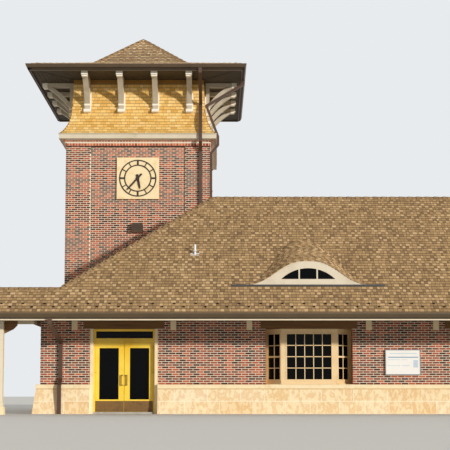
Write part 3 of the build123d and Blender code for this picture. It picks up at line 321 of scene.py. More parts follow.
def finish(name, colours, grain, roughness, relief=0.0, stretch=(1, 1, 1), tones=None, metal=0.0,
           tone_share=0.75, fine=4.0, shine=0.5, painted_head_shade=0.0, second=None, axis="Z", limits=()):
    """A finish from noise on Object coordinates; tones colour each laid piece by its own chance.

    A second row of colours takes over, and back again, at each limit along an axis."""
    made = bpy.data.materials.new(name)
    made.use_nodes = True
    tree = made.node_tree
    shader = tree.nodes["Principled BSDF"]
    low, high, spread = 0.3, 0.7, 0.08
    place = step(tree, "ShaderNodeTexCoord").outputs["Object"]
    feeds = {"Vector": place, "Scale": [s / grain for s in stretch]}
    spot = step(tree, "ShaderNodeMapping", feeds).outputs[0]
    cloud, speck = [step(tree, "ShaderNodeTexNoise", {"Vector": spot, "Scale": scale, "Detail": detail,
                                                      "Roughness": rough}).outputs["Fac"]
                    for scale, detail, rough in ((1.0, 5.0, 0.6), (fine, 3.0, 0.7))]
    colour = colour_ramp(tree, cloud, colours, low, high)
    if second:
        along = step(tree, "ShaderNodeSeparateXYZ", {0: place}).outputs[axis]
        share = step(tree, "ShaderNodeMapRange", {0: along, 1: -widest, 2: widest}).outputs[0]
        switch = step(tree, "ShaderNodeValToRGB", {0: share})
        switch.color_ramp.interpolation = "CONSTANT"
        stops = switch.color_ramp.elements
        stops.remove(stops[1])
        stops[0].color = (0, 0, 0, 1)
        for n, limit in enumerate(limits, 1):
            stops.new((limit / widest + 1) / 2).color = (n % 2,) * 3 + (1,)
        colour = mixed(tree, switch.outputs[0], colour, colour_ramp(tree, cloud, second, low, high))
    if tones:
        chance = step(tree, "ShaderNodeAttribute", attribute_name="tone").outputs["Fac"]
        colour = mixed(tree, tone_share, colour, colour_ramp(tree, chance, tones, 0.0, 1.0))
    # painted shade: the upper part of each laid piece, under the butt of the course above, is darkened
    if painted_head_shade:
        rise = step(tree, "ShaderNodeAttribute", attribute_name="rise").outputs["Fac"]
        under = step(tree, "ShaderNodeMapRange", {0: rise, 1: 0.68, 2: 0.86, 3: 0.0, 4: painted_head_shade})
        for way, shade in (("MIX", paint(colours[-1])), ("MULTIPLY", (0.3, 0.3, 0.3, 1))):
            colour = mixed(tree, under.outputs[0], colour, shade, way)
    tree.links.new(colour, shader.inputs["Base Color"])
    shader.inputs["Metallic"].default_value = metal
    shader.inputs["Specular IOR Level"].default_value = shine
    feeds = {0: speck, 1: low, 2: high, 3: max(0.02, roughness - spread),
             4: min(1.0, roughness + spread)}
    tree.links.new(step(tree, "ShaderNodeMapRange", feeds).outputs[0], shader.inputs["Roughness"])
    if relief:
        both = step(tree, "ShaderNodeMath", {0: cloud, 1: speck}, operation="ADD").outputs[0]
        bump = step(tree, "ShaderNodeBump", {"Strength": 0.6, "Distance": relief, "Height": both})
        tree.links.new(bump.outputs[0], shader.inputs["Normal"])
    return made


def dressed(material, *nodes):
    """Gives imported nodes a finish."""
    for node in nodes:
        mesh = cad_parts[node].data
        if not mesh.materials:
            mesh.materials.append(material)
        for n in range(len(mesh.materials)):
            mesh.materials[n] = material


mortar = finish("lime_mortar", ("e4d9c2", "efe5d0", "d7cab0"), 0.03, 0.9, 0.0006)
burnt_brick = finish("burnt_brick", ("74402a", "9c5536", "5c3424"), 0.05, 0.82, 0.0012,
                     tones=("26150d", "38200f", "502b18", "703a20", "8e4626", "a5502c", "b75b33",
                            "c4663b"), tone_share=0.9)
dressed(mortar, "front_wall", "rear_wall", "end_walls", "tower_front_wall", "tower_rear_wall",
        "tower_side_walls")
brick = wedge("brick_shape", 1.0, 1.0, 9.0)
front_left, front_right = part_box("front_wall")
hall_left, hall_right, hall_front = front_left.x, front_right.x, front_left.y
hall_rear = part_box("rear_wall")[1].y
brick_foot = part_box("base_caps")[1].z
tower_low, tower_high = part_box("tower_side_walls")
tower_high.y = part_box("tower_rear_wall")[1].y
tower_front = tower_low.y
tower_wide = tower_high.x - tower_low.x
quarter = math.pi / 2


def on_plan(spot, level=0):
    """A point of the plan, at a level."""
    return Vector((spot[0], spot[1], level))


tower_mid = on_plan((tower_low + tower_high) / 2)


def brick_field(length, turn, corner, left, right, courses, first=0, odd=0, covered=None, sunk=0.0,
                lap=brick_lap):
    """Courses of brick on one face of a wall, from a left to a right end along it."""
    module = 2 * length / round(length / brick_module * 2)
    sizes = {"Course Height": brick_course, "Joint": brick_joint, "Height": brick_course - brick_joint,
             "Thickness": brick_proud, "First Course": first + odd, "Courses": courses,
             "Alternation": 0.3}
    if covered:
        sizes["Covered By"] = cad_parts[covered]
    return lay(brick, burnt_brick, [(sunk, 0), (sunk, courses * brick_course)], left - lap, right + lap,
               module, turn, on_plan(corner, brick_foot + first * brick_course), **sizes)


# the gaps of the front wall: its openings up to the beams' foot, and above that the beams
door_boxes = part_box("door_surrounds")
bay_low, bay_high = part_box("bay_window_frame")
corner = (hall_left, hall_front)
length = hall_right - hall_left
beam_courses, full_courses = 24, 28
door_half, beam_half, bay_beam_half, bay_board = 0.99, 1.175, 1.41, 0.06
bay_middle = (bay_low.x + bay_high.x) / 2 - hall_left
bay_half = (bay_high.x - bay_low.x) / 2 - bay_board
door_middles = (door_boxes[0].x - hall_left + door_half, door_boxes[1].x - hall_left - door_half)
low_gaps, high_gaps = [[(middle - half, middle + half) for middle, half in
                        zip((door_middles[0], bay_middle, door_middles[1]), (at_door, at_bay, at_door))]
                       for at_door, at_bay in ((door_half, bay_half), (beam_half, bay_beam_half))]


def wall_bricks(length, turn, corner, bands, odd=0):
    """Bricks of a wall; each band has its first course, its number of courses and its gaps."""
    fields, shortest = [], 0.02
    for first, courses, gaps in bands:
        ends = [0] + [x for gap in gaps for x in gap] + [length]
        fields += [brick_field(length, turn, corner, a, b, courses, first, odd)
                   for a, b in zip(ends[::2], ends[1::2]) if b - a > shortest]
    return fields


hall_bricks = wall_bricks(length, 0, corner, ((0, beam_courses, low_gaps),
                                              (beam_courses, full_courses - beam_courses, high_gaps)))
wall_thick = 0.3


def jambs(left, right, turn, corner, deep, courses):
    """Bricks on both sides of an opening, whose ends are given along its wall."""
    near, far = [on_plan(corner) + Matrix.Rotation(turn, 3, "Z") @ Vector(spot)
                 for spot in ((left, 0, 0), (right, deep, 0))]
    return [brick_field(deep, turn + quarter, near, 0, deep, courses),
            brick_field(deep, turn - quarter, far, 0, deep, courses, odd=1)]


hall_bricks += jambs(bay_middle - bay_half, bay_middle + bay_half, 0, corner, wall_thick, beam_courses)
window_half, window_courses, soldier_courses, window_recess = 0.6, 22, 3, 0.11


def window_wall(length, turn, corner, middles, odd=0):
    """A wall with plain windows, each under a row of bricks on end."""
    gaps = [(m - window_half, m + window_half) for m in middles]
    head_courses = window_courses + soldier_courses
    fields = wall_bricks(length, turn, corner, ((0, head_courses, gaps),
                                                (head_courses, full_courses - head_courses, [])), odd)
    height = soldier_courses * brick_course
    base = on_plan(corner, brick_foot + window_courses * brick_course)
    sizes = {"Course Height": height, "Joint": brick_joint, "Height": height - brick_joint,
             "Thickness": brick_proud, "First Course": 0, "Courses": 1}
    for a, b in gaps:
        fields += jambs(a, b, turn, corner, window_recess, window_courses)
        place = base + Matrix.Rotation(turn, 3, "Z") @ Vector((a, 0, 0))
        fields.append(lay(brick, burnt_brick, [(0, 0), (0, height)], 0, b - a,
                          (b - a) / round((b - a) / brick_course), turn, place, **sizes))
    return fields


window_spacing = 5.16
hall_deep = hall_rear - hall_front
left_long = tower_front - hall_front
rear_middles = [length - bay_middle - window_spacing, length - bay_middle]
hall_bricks += window_wall(hall_deep, quarter, (hall_right, hall_front), [hall_deep / 2], 1)
hall_bricks += window_wall(hall_right - tower_high.x, 2 * quarter, (hall_right, hall_rear), rear_middles)
hall_bricks += window_wall(left_long, -quarter, (hall_left, tower_front), [left_long / 2], 1)
fitted("hall_brickwork", hall_bricks)

# The tower's bricks, in the same bond; the middle of each side is sunk behind two corner
# piers, and the hall's roof hides the lower bricks of the two sides that stand in it.
pier, sunk_depth, hall_soffit = 0.83, 0.05, 2.72
corbel_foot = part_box("tower_corbel_band")[0].z
rear_courses, right_corner = 27, (tower_high.x, tower_front)
sides = (((tower_low.x, tower_front), hall_soffit, "main_roof"),
         (right_corner, hall_soffit, "main_roof"),
         ((tower_high.x, tower_high.y), brick_foot, None),
         ((tower_low.x, tower_high.y), brick_foot, None))
tower_bricks = []
for turns, (corner, low, covered) in enumerate(sides):
    first = math.floor((low - brick_foot) / brick_course + 1e-6)
    courses = math.floor((corbel_foot - brick_foot) / brick_course) - first
    for a, b, sunk, lap in ((0, pier, 0, brick_lap), (pier, tower_wide - pier, sunk_depth, pier_lap),
                            (tower_wide - pier, tower_wide, 0, brick_lap)):
        tower_bricks.append(brick_field(tower_wide, turns * quarter, corner, a, b, courses, first,
                                        turns % 2, covered, sunk, lap))
tower_bricks.append(brick_field(tower_wide, quarter, right_corner, hall_rear - tower_front, tower_wide,
                                rear_courses, odd=1))
fitted("tower_brickwork", tower_bricks)

# Joints of pale sealant in the inner corners of the piers, and under the corbelled band a dark
# strip of painted shadow. Where the hall's roof meets the tower the sealant stops at the shingles.
sealant = finish("pale_sealant", ("ddcfb4", "e8dcc4"), 0.2, 0.8, 0.0003)
raked_joint = finish("raked_joint", ("3c2b20", "4a3628"), 0.1, 0.9, 0.0004)
sealant_wide, sealant_proud, sealant_deep, sealant_top = 0.022, 0.007, 0.02, corbel_foot - 0.28
sealant_feet = ((3.70, 6.22), (4.76, brick_foot), (brick_foot, brick_foot), (brick_foot, brick_foot))
sealant_strips = []
for turns, feet in enumerate(sealant_feet):
    spin = Matrix.Translation(tower_mid) @ Matrix.Rotation(turns * quarter, 4, "Z")
    for side, foot in zip((-1, 1), feet):
        edge = side * (tower_wide / 2 - pier)
        left, right = sorted((edge, edge - side * sealant_wide))
        face = -tower_wide / 2 + sunk_depth
        front, back = face - sealant_proud, face + sealant_deep
        sealant_strips.append([tuple(spin @ Vector((x, y, z))) for z in (foot, sealant_top) for x, y in
                               ((left, front), (right, front), (right, back), (left, back))])

# Stone base: two courses of sawn limestone blocks with a battered face, bedded on the packed
# base, which shows as the mortar between them. A projecting cap course covers their tops, over
# a darker strip of painted shadow, and square stone corbels stand on the wall beside the beams.
stone_proud, stone_joint, stone_lengths = 0.004, 0.013, (0.62, 1.05)


def closed_mesh(name, corners, faces, material, edge=0.0):
    """A mesh of closed bodies: its faces are turned outwards, and its edges eased where asked."""
    mesh = bpy.data.meshes.new(name)
    mesh.from_pydata(corners, [], faces)
    made = bmesh.new()
    made.from_mesh(mesh)
    bmesh.ops.recalc_face_normals(made, faces=made.faces[:])
    if edge:
        bmesh.ops.bevel(made, geom=made.edges[:], offset=edge, segments=1, affect="EDGES")
    made.to_mesh(mesh)
    made.free()
    mesh.materials.append(material)
    return mesh


def solid_mesh(name, blocks, material, edge=0.0):
    """One mesh from blocks of eight corners: four round the foot and four above them."""
    sides = ((3, 2, 1, 0), (4, 5, 6, 7), (0, 1, 5, 4), (1, 2, 6, 5), (2, 3, 7, 6), (3, 0, 4, 7))
    faces = [[8 * n + k for k in side] for n in range(len(blocks)) for side in sides]
    return closed_mesh(name, [corner for block in blocks for corner in block], faces, material, edge)


def fitted_blocks(name, blocks, material, edge=0.0, body="root"):
    """One piece made of blocks of eight corners."""
    fitted(name, [solid_mesh(name, blocks, material, edge)], body)


def tone_blocks(mesh, size, chance):
    """Gives each block of a mesh, which has so many corners, one tone of its own."""
    layer = mesh.attributes.new("tone", "FLOAT", "POINT")
    tones = [chance.random() for n in range(len(mesh.vertices) // size + 1)]
    layer.data.foreach_set("value", [tones[n // size] for n in range(len(mesh.vertices))])


def box_block(low, high):
    """Eight corners of an upright block."""
    (x0, y0, z0), (x1, y1, z1) = low, high
    ring = ((x0, y0), (x1, y0), (x1, y1), (x0, y1))
    return [(x, y, z0) for x, y in ring] + [(x, y, z1) for x, y in ring]


limestone = finish("limestone", ("efd5a4", "f6e2bc", "dcae74", "f1d9ae"), 0.15, 0.85, 0.0010,
                   stretch=(1.3, 1.3, 0.8), tones=("e6c48c", "f5e2bb", "eed3a0", "f8e9cb"),
                   tone_share=0.4, fine=9.0)
plain_stone = finish("cap_stone", ("f0d8ab", "f4e0b8", "e8cd9b"), 0.3, 0.8, 0.0006, fine=12.0)
stone_mortar = finish("stone_mortar", ("fbf0d8", "fff8e8"), 0.05, 0.9, 0.0005)
dressed(stone_mortar, "base_stones")
dressed(plain_stone, "base_caps", "corbel_blocks", "door_surrounds", "canopy_post_feet",
        "clock_panels")
base_foot_out, base_top_out, stone_deep, shortest_stone = 0.2, 0.1, 0.03, 0.35
cap_shadow_high, cap_shadow_proud = 0.024, 1.3 * stone_proud
base_stone_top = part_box("base_caps")[0].z
chance = random.Random(4)
plan = ((hall_left, hall_front), (hall_right, hall_front), (hall_right, hall_rear),
        (tower_high.x, hall_rear), (tower_high.x, tower_high.y), (hall_left, tower_high.y))
door_ends = [(x + hall_left, hall_front) for gap in (low_gaps[0], low_gaps[2]) for x in gap]
outer, inner, cut = 1, -1, 0
runs = [(plan[0], door_ends[0], outer, cut), (door_ends[1], door_ends[2], cut, cut),
        (door_ends[3], plan[1], cut, outer), (plan[1], plan[2], outer, outer),
        (plan[2], plan[3], outer, inner), (plan[3], plan[4], inner, outer),
        (plan[4], plan[5], outer, outer), (plan[5], plan[0], outer, outer)]


def base_out(level):
    """How far the battered face stands outside the wall at a level."""
    return base_foot_out + (base_top_out - base_foot_out) * level / base_stone_top


blocks, under_cap = [], []
for start, end, start_corner, end_corner in runs:
    start, end = Vector(start), Vector(end)
    ahead = (end - start).normalized()
    out = Vector((ahead.y, -ahead.x))
    reach = (end - start).length
    for course in range(2):
        low, high = course * base_stone_top / 2, (course + 1) * base_stone_top / 2
        ends, at = [0.0], chance.uniform(*stone_lengths) * (0.5 if course else 1)
        while at < reach - shortest_stone:
            ends.append(at)
            at += chance.uniform(*stone_lengths)
        ends.append(reach)
        for a, b in zip(ends, ends[1:]):
            corners = []
            for level in (low + stone_joint / 2, high - stone_joint / 2):
                front, back = base_out(level) + stone_proud, base_out(level) - stone_deep
                for at, distance in ((a, front), (b, front), (b, back), (a, back)):
                    shift = stone_joint / 2 if at == a else -stone_joint / 2
                    if at == 0.0:
                        shift = -start_corner * distance
                    elif at == reach:
                        shift = end_corner * distance
                    spot = start + ahead * (at + shift) + out * distance
                    corners.append((spot.x, spot.y, level))
            blocks.append(corners)
    corners = []
    for level in (base_stone_top - cap_shadow_high, base_stone_top):
        lip = base_out(level) + cap_shadow_proud
        back = lip - stone_deep
        for at, slide, distance in ((0, -start_corner, lip), (reach, end_corner, lip),
                                    (reach, end_corner, back), (0, -start_corner, back)):
            corners.append((*(start + ahead * (at + slide * distance) + out * distance), level))
    under_cap.append(corners)
base_mesh = solid_mesh("base_blocks", blocks, limestone)
tone_blocks(base_mesh, 8, chance)
fitted("base_blocks", [base_mesh])
# painted shadow: a darker strip round the base just under the cap course
painted_cap_shadow = finish("painted_cap_shadow", ("c6a26c", "d3b27c", "b59158"), 0.2, 0.9, 0.0004)
fitted_blocks("cap_joint", under_cap, painted_cap_shadow)
fitted_blocks("pier_sealant", sealant_strips, sealant)
# mortar that closes the brickwork over the end of the timber beam in the tower's left corner
pointing_proud, pointing_deep, pointing_clear, pointing_wide = 0.0015, 0.01, 0.002, 0.305
pointing_foot, pointing_head = 2.41, 2.73
beam_end = box_block((tower_low.x - pointing_proud, tower_front + pointing_clear, pointing_foot),
                     (tower_low.x + pointing_deep, tower_front + pointing_wide, pointing_head))
fitted_blocks("beam_end_pointing", [beam_end], mortar)

# Shingle roofs of the hall and the canopy: laminated shingles in courses of about 143 mm, tan
# to brown, each tab a little thicker or thinner than the next, nailed over felt on the packed
# decks, with bent caps along the hips and ridges.
shingle_module, shingle_thickness, shingle_spread = 0.105, 0.011, 0.005
shingle_joint, shingle_lap = 0.008, 0.012
roof_pitch, eave_level = 0.78, 2.78
eave_left, eave_right, eave_front, eave_rear = -5.245, 13.075, -6.705, 3.895
canopy_left, canopy_half = -13.075, 1.02
canopy_rear = eave_front + 2 * canopy_half
gutter_lap = 0.06
climb = math.hypot(1, roof_pitch)
ridge_run = (eave_rear - eave_front) / 2
roof_courses = 47
shingle_exposure = (ridge_run - gutter_lap) * climb / roof_courses
course_run = shingle_exposure / climb
roof_felt = finish("roof_felt", ("6a553c", "7a6246"), 0.1, 0.92, 0.0006)
roof_shingle = finish("weathered_shingle", ("a88a62", "907250", "b99a70", "7d6346"), 0.12, 0.93, 0.0014,
                      tones=("7b6246", "8c704f", "9d7f5a", "ad8d64", "bb9a6d", "caa87b", "dab98c"),
                      tone_share=0.85, fine=7.0, shine=0.2, painted_head_shade=0.85)
# the tower's shingles are a lighter copy of the hall's, which is painted light
lit_tower_shingle = finish("painted_light_tower_shingle", ("cbab80", "b5946c", "dabb90", "a38662"), 0.12, 0.93, 0.0014,
                       tones=("a58664", "bb9b74", "d0af84", "e3c296", "f4d5a9", "ffe8c0"),
                       tone_share=0.85, fine=7.0, shine=0.2, painted_head_shade=0.35)
dressed(roof_felt, "main_roof", "canopy_roof", "tower_roof")
shingle = wedge("shingle_shape", 1.0, 0.12, 0.3)


def roof_field(corner, turn, profile, left, right, left_lean, right_lean, first,
               exposure=shingle_exposure, covering=roof_shingle):
    """Courses of shingles on a slope; its profile is given inward and level from the eave."""
    sizes = {"Course Height": exposure, "Joint": shingle_joint, "Height": exposure + shingle_lap,
             "Thickness": shingle_thickness, "Thickness Spread": shingle_spread, "Width Spread": 0.03,
             "Alternation": 0.35, "Stagger": 0.0, "First Course": first, "Left Lean": left_lean,
             "Right Lean": right_lean, "Seed": 29, "Smallest": 0.03,
             "Covered By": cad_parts["eyebrow_dormer"]}
    return lay(shingle, covering, profile, left, right, shingle_module, turn, on_plan(corner), **sizes)


def slope_line(first, last):
    """Profile of the main slope from the foot of one course to the head of another."""
    return [(gutter_lap + n * course_run, eave_level + roof_pitch * (gutter_lap + n * course_run))
            for n in (first, last)]


tower_line = eave_rear - tower_front
low_courses = math.floor((canopy_half - gutter_lap) / course_run)
tower_courses = round((tower_line - gutter_lap) / course_run)
wide, deep = eave_right - eave_left, eave_rear - eave_front
front_corner, left_corner = (eave_left, eave_front), (eave_left, tower_front)
canopy_line = [(d, eave_level + roof_pitch * d) for d in (gutter_lap, canopy_half)]
canopy_courses, past_hip = 9, 0.95
canopy_exposure = (canopy_half - gutter_lap) * climb / canopy_courses
last_canopy_line = [slope_line(low_courses, low_courses)[0], canopy_line[1]]
last_exposure = math.dist(*last_canopy_line)
right_front, right_rear = (eave_right, eave_front), (eave_right, eave_rear)
canopy_start = canopy_left - eave_left
left_deep, rear_wide = tower_front - eave_front, eave_right - tower_high.x
fitted("front_roof_shingles", [
    roof_field(front_corner, 0, slope_line(0, low_courses), canopy_start, wide, 1, -1, 0),
    roof_field(front_corner, 0, last_canopy_line, canopy_start, past_hip, 1, 0, low_courses,
               last_exposure),
    roof_field(front_corner, 0, slope_line(low_courses, roof_courses), 0, wide, 1, -1, low_courses)])
fitted("side_roof_shingles", [
    roof_field(right_front, quarter, slope_line(0, roof_courses), 0, deep, 1, -1, 0),
    roof_field(right_rear, 2 * quarter, slope_line(0, tower_courses), 0, rear_wide, 1, 0, 0),
    roof_field(right_rear, 2 * quarter, slope_line(tower_courses, roof_courses), 0, wide, 1, -1,
               tower_courses),
    roof_field(left_corner, -quarter, slope_line(0, low_courses), 0, tower_front - canopy_rear, 0, 1, 0),
    roof_field(left_corner, -quarter, slope_line(low_courses, tower_courses), 0, left_deep, 0, -1,
               low_courses),
    roof_field(left_corner, -quarter, slope_line(tower_courses, roof_courses), tower_front - eave_rear,
               left_deep, 1, -1, tower_courses),
    roof_field((eave_left, canopy_rear), 2 * quarter, canopy_line, 0, -canopy_start, -1, -1, 0,
               canopy_exposure),
    roof_field((canopy_left, canopy_rear), -quarter, canopy_line, 0, 2 * canopy_half, 1, -1, 0,
               canopy_exposure)])

# Caps over the hips and ridges: single shingles, bent over the edge and nailed from the eaves
# upwards, so that each laps the last.
cap_width, cap_thickness, cap_lap = 0.28, 0.012, 0.03
cap_shade = finish("cap_shingle", ("957853", "80664a", "a58762"), 0.12, 0.93, 0.0012,
                   tones=("7c6247", "a58761", "8d7050", "b3956c"), tone_share=0.6, fine=7.0, shine=0.2,
                   painted_head_shade=0.6)


def cap_shape(name, fall):
    """A bent shingle; fall is the slope of its two flaps away from the crown."""
    drop = fall * cap_width / 2 / cap_thickness
    corners = [(x, y + bend, z) for z, lift in ((0, -1.0), (1, -0.15)) for y in (lift, 0.4)
               for x, bend in ((-0.5, drop), (0, 0), (0.5, drop))]
    faces = [(0, 1, 7, 6), (1, 2, 8, 7), (4, 3, 9, 10), (5, 4, 10, 11), (1, 0, 3, 4), (2, 1, 4, 5),
             (6, 7, 10, 9), (7, 8, 11, 10), (0, 6, 9, 3), (8, 2, 5, 11)]
    return pattern_piece(name, corners, faces)


def hip_fall(pitch):
    """How steeply the flaps of a cap fall beside a hip between two slopes of one pitch."""
    return pitch / math.sqrt(pitch ** 2 + 2)


def cap_line(shape, start, end):
    """Caps along a straight hip or ridge, from its low or left end."""
    start, end = Vector(start), Vector(end)
    run = (end - start).xy.length
    turn = math.atan2(start.x - end.x, end.y - start.y)
    side = Matrix.Rotation(turn, 3, "Z") @ Vector((-cap_width / 2, 0, 0))
    reach = (end - start).length
    exposure = reach / round(reach / shingle_exposure)
    sizes = {"Course Height": exposure, "Height": exposure + cap_lap, "Thickness": cap_thickness,
             "Seed": 7}
    return lay(shape, cap_shade, [(0, 0), (run, end.z - start.z)], 0, cap_width, cap_width, turn,
               start + side, **sizes)


def on_roof(corner, towards, run):
    """A point on a hip or a ridge, a run inward from its eave corner."""
    return (corner[0] + towards[0] * run, corner[1] + towards[1] * run, eave_level + roof_pitch * run)


hip_cap = cap_shape("hip_cap_shape", hip_fall(roof_pitch))
ridge_cap = cap_shape("ridge_cap_shape", roof_pitch)
corner_clear, tower_clear = 0.11, 0.02
cap_start = gutter_lap + corner_clear
hips = ((right_front, (-1, 1), cap_start, ridge_run), (right_rear, (-1, -1), cap_start, ridge_run),
        (front_corner, (1, 1), canopy_half, ridge_run),
        ((eave_left, eave_rear), (1, -1), tower_line + tower_clear, ridge_run),
        ((canopy_left, eave_front), (1, 1), cap_start, canopy_half),
        ((canopy_left, canopy_rear), (1, -1), cap_start, canopy_half))
caps = [cap_line(hip_cap, on_roof(c, t, a), on_roof(c, t, b)) for c, t, a, b in hips]
caps.append(cap_line(ridge_cap, on_roof(front_corner, (1, 1), ridge_run),
                     on_roof(right_front, (-1, 1), ridge_run)))
caps.append(cap_line(ridge_cap, on_roof((canopy_left, eave_front), (1, 1), canopy_half),
                     on_roof(front_corner, (1, 1), canopy_half)))
fitted("roof_caps", caps)

# Snow guards: small dark cast brackets, screwed on through the shingles in two staggered rows
# above the front eave.
guard_spacing, guard_start, guard_stop = 0.597, 0.5, 0.4
guard_long, guard_high, guard_out = 0.08, 0.045, 0.05
guard_shape = wedge("guard_shape", 1.0, 0.5, 0.1)
for corner in guard_shape.data.vertices:
    corner.co.x *= 0.1
guard_metal = finish("cast_guard", ("2e2721", "3b322a"), 0.05, 0.6, 0.0003, metal=0.6)
guard_rows = []
for run, phase in ((0.207, -0.099), (0.340, -0.362)):
    start = math.ceil((canopy_left + guard_start - phase) / guard_spacing) * guard_spacing + phase
    line = [(d, eave_level + roof_pitch * d) for d in (run, run + guard_out)]
    sizes = {"Course Height": guard_long, "Height": guard_high, "Thickness": guard_out, "Stagger": 0.0}
    guard_rows.append(lay(guard_shape, guard_metal, line, 0, eave_right - guard_stop - start,
                          guard_spacing, 0, on_plan((start - guard_spacing / 2, eave_front)), **sizes))
fitted("snow_guards", guard_rows)

# Tower roof: the same shingles, nailed on the four slopes of a pyramid that flattens towards
# its gutters, with bent caps over its hips; their colours are a lighter copy, which is painted light.
tower_half_eave, tower_courses_up = 3.69, 29
low_pitch, low_run, tower_eave, high_pitch, cap_run, hip_start = 0.30, 2.0, 11.56, 0.84, 3.63, 0.06
break_level = tower_eave + low_pitch * low_run
tower_line_up = [(gutter_lap, tower_eave + low_pitch * gutter_lap), (low_run, break_level),
                 (cap_run, break_level + high_pitch * (cap_run - low_run))]
tower_exposure = line_length(tower_line_up) / tower_courses_up


def tower_corner(turns, half):
    """The left end of one side of a square round the tower, of this half width."""
    return tower_mid + Matrix.Rotation(turns * quarter, 3, "Z") @ Vector((-half, -half, 0))


tower_fields, tower_caps = [], []
low_cap = cap_shape("low_hip_cap_shape", hip_fall(low_pitch))
high_cap = cap_shape("high_hip_cap_shape", hip_fall(high_pitch))
for turns in range(4):
    corner, turn = tower_corner(turns, tower_half_eave), turns * quarter
    tower_fields.append(roof_field(corner, turn, tower_line_up, 0, 2 * tower_half_eave, 1, -1, 0,
                                   tower_exposure, lit_tower_shingle))
    hip = [corner + Matrix.Rotation(turn, 3, "Z") @ Vector((d, d, z)) for d, z in tower_line_up]
    hip[0] = hip[0].lerp(hip[1], hip_start)
    tower_caps += [cap_line(low_cap, hip[0], hip[1]), cap_line(high_cap, hip[1], hip[2])]
fitted("tower_roof_shingles", tower_fields)
fitted("tower_roof_caps", tower_caps)

# Shingled band of the tower: golden cedar shingles on the flared wall above the cornice, laid
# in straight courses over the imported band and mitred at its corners.
cedar_exposure, cedar_module = 0.113, 0.19
cedar = finish("golden_cedar", ("e8b961", "f2c878", "dba64c", "f6d189"), 0.2, 0.8, 0.0009,
               stretch=(3, 3, 0.7), fine=8.0, painted_head_shade=0.95,
               tones=("cd993f", "fbd182", "e4b255", "ffe1a0", "d7a349", "fcd68a", "ecbc62"))
cedar_base = finish("cedar_underlay", ("94692a", "a37633"), 0.1, 0.85, 0.0006)
dressed(cedar_base, "tower_shingle_band")
cornice_top, band_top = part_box("tower_cornice")[1].z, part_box("tower_shingle_band")[1].z
cornice_out, top_inset, flare_height = 0.22, 0.215, 0.42
flare_steps, bracket_foot = 7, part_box("tower_brackets")[0].z
levels = [cornice_top + (bracket_foot - cornice_top) * n / flare_steps for n in range(flare_steps)]
levels += [bracket_foot, (bracket_foot + band_top) / 2, band_top]


def band_out(level):
    """How far the band's face stands outside the brick face below it."""
    return (cornice_out + top_inset) * math.exp(-(level - cornice_top) / flare_height) - top_inset


band_line = [(-band_out(level), level) for level in levels]
cedar_shape = wedge("cedar_shape", 1.0, 0.2, 0.5)
cedar_sizes = {"Course Height": cedar_exposure, "Height": cedar_exposure + 0.01, "Joint": 0.008,
               "Thickness": 0.011, "Thickness Spread": 0.002, "Width Spread": 0.04, "Left Lean": 1,
               "Right Lean": -1, "Smallest": 0.03, "Courses": 17}
fitted("tower_cedar_shingles", [
    lay(cedar_shape, cedar, band_line, 0, tower_wide, cedar_module, turns * quarter,
        tower_corner(turns, tower_wide / 2), Seed=3 + turns, **cedar_sizes) for turns in range(4)])

# Corbelled brick band under the cornice: two rows of redder bricks on end, which lean out along
# a hollow curve.
band_low, band_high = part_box("tower_corbel_band")[0].z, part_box("tower_cornice")[0].z
corbel_out, corbel_chords = 0.15, 5
hollow = [(-corbel_out * (1 - math.cos(quarter * n / corbel_chords)),
           band_low + (band_high - band_low) * math.sin(quarter * n / corbel_chords))
          for n in range(corbel_chords + 1)]
dressed(mortar, "tower_corbel_band")
corbel_course = line_length(hollow) / 2
corbel_brick = finish("corbel_brick", ("c05a34", "a8492a", "d06c42"), 0.05, 0.82, 0.0012,
                      tones=("c9663c", "8a3c22", "dc7a4c", "a94c2c", "e08455", "743220"),
                      tone_share=0.85)
corbel_sizes = {"Course Height": corbel_course, "Height": corbel_course - brick_joint,
                "Joint": brick_joint, "Thickness": brick_proud, "Left Lean": 1, "Right Lean": -1,
                "Courses": 2, "Stagger": 0.0}
fitted("corbel_brickwork", [
    lay(brick, corbel_brick, hollow, -brick_proud, tower_wide + brick_proud, brick_course * 1.5,
        turns * quarter, tower_corner(turns, tower_wide / 2), Seed=17 + turns, **corbel_sizes)
    for turns in range(4)])
# painted shadow: a dark strip just under the foot of the corbelled band
corbel_shadow_profile = [(depth, corbel_foot - drop)
        for depth, drop in ((-0.005, 0.04), (0.052, 0.04), (0.052, 0.004), (-0.005, 0.004))]

# Gutters: formed sheet-metal troughs with an ogee front, painted bronze brown, mitred at the
# corners and hung on the fascias of the hall, the canopy and the tower.
# painted highlight: a lighter band along the top of the hall and canopy gutters; the darker brown below
# it is partly painted shade of the lower face
gutter_paint_and_highlight = finish("gutter_paint_and_highlight", ("4d3f2a", "574730"), 0.6, 0.42, 0.0002, fine=20.0,
                      second=("836850", "917459"), limits=(eave_level - 0.028, eave_level + 0.05))
dark_metal = finish("dark_metal", ("4b3a2a", "56442f"), 0.5, 0.45, 0.0002, fine=20.0)
gutter_deep = 0.13
gutter_shape = ((0.126, -0.006), (0.126, -0.13), (0.058, -0.13), (0.034, -0.112), (0.024, -0.086),
                (0.012, -0.056), (0.003, -0.040), (0.0, -0.024), (0.0, 0.0), (0.014, 0.0),
                (0.014, -0.006), (0.006, -0.008), (0.006, -0.024), (0.018, -0.058), (0.030, -0.088),
                (0.040, -0.108), (0.060, -0.124), (0.120, -0.124), (0.120, -0.006))
# painted shadow: a dark strip under the back of each hall and canopy gutter, on the fascia
gutter_shadow_strip_shape = ((0.112, -0.152), (0.1295, -0.152), (0.1295, -0.13), (0.112, -0.13))
convex, square, reentrant = 1, 0, -1
eave_edges = (((canopy_left, eave_front), (eave_right, eave_front), convex, convex),
              ((eave_right, eave_front), (eave_right, eave_rear), convex, convex),
              ((eave_right, eave_rear), (tower_high.x, eave_rear), convex, square),
              ((eave_left, tower_front), (eave_left, canopy_rear), square, reentrant),
              ((eave_left, canopy_rear), (canopy_left, canopy_rear), reentrant, convex),
              ((canopy_left, canopy_rear), (canopy_left, eave_front), convex, convex))


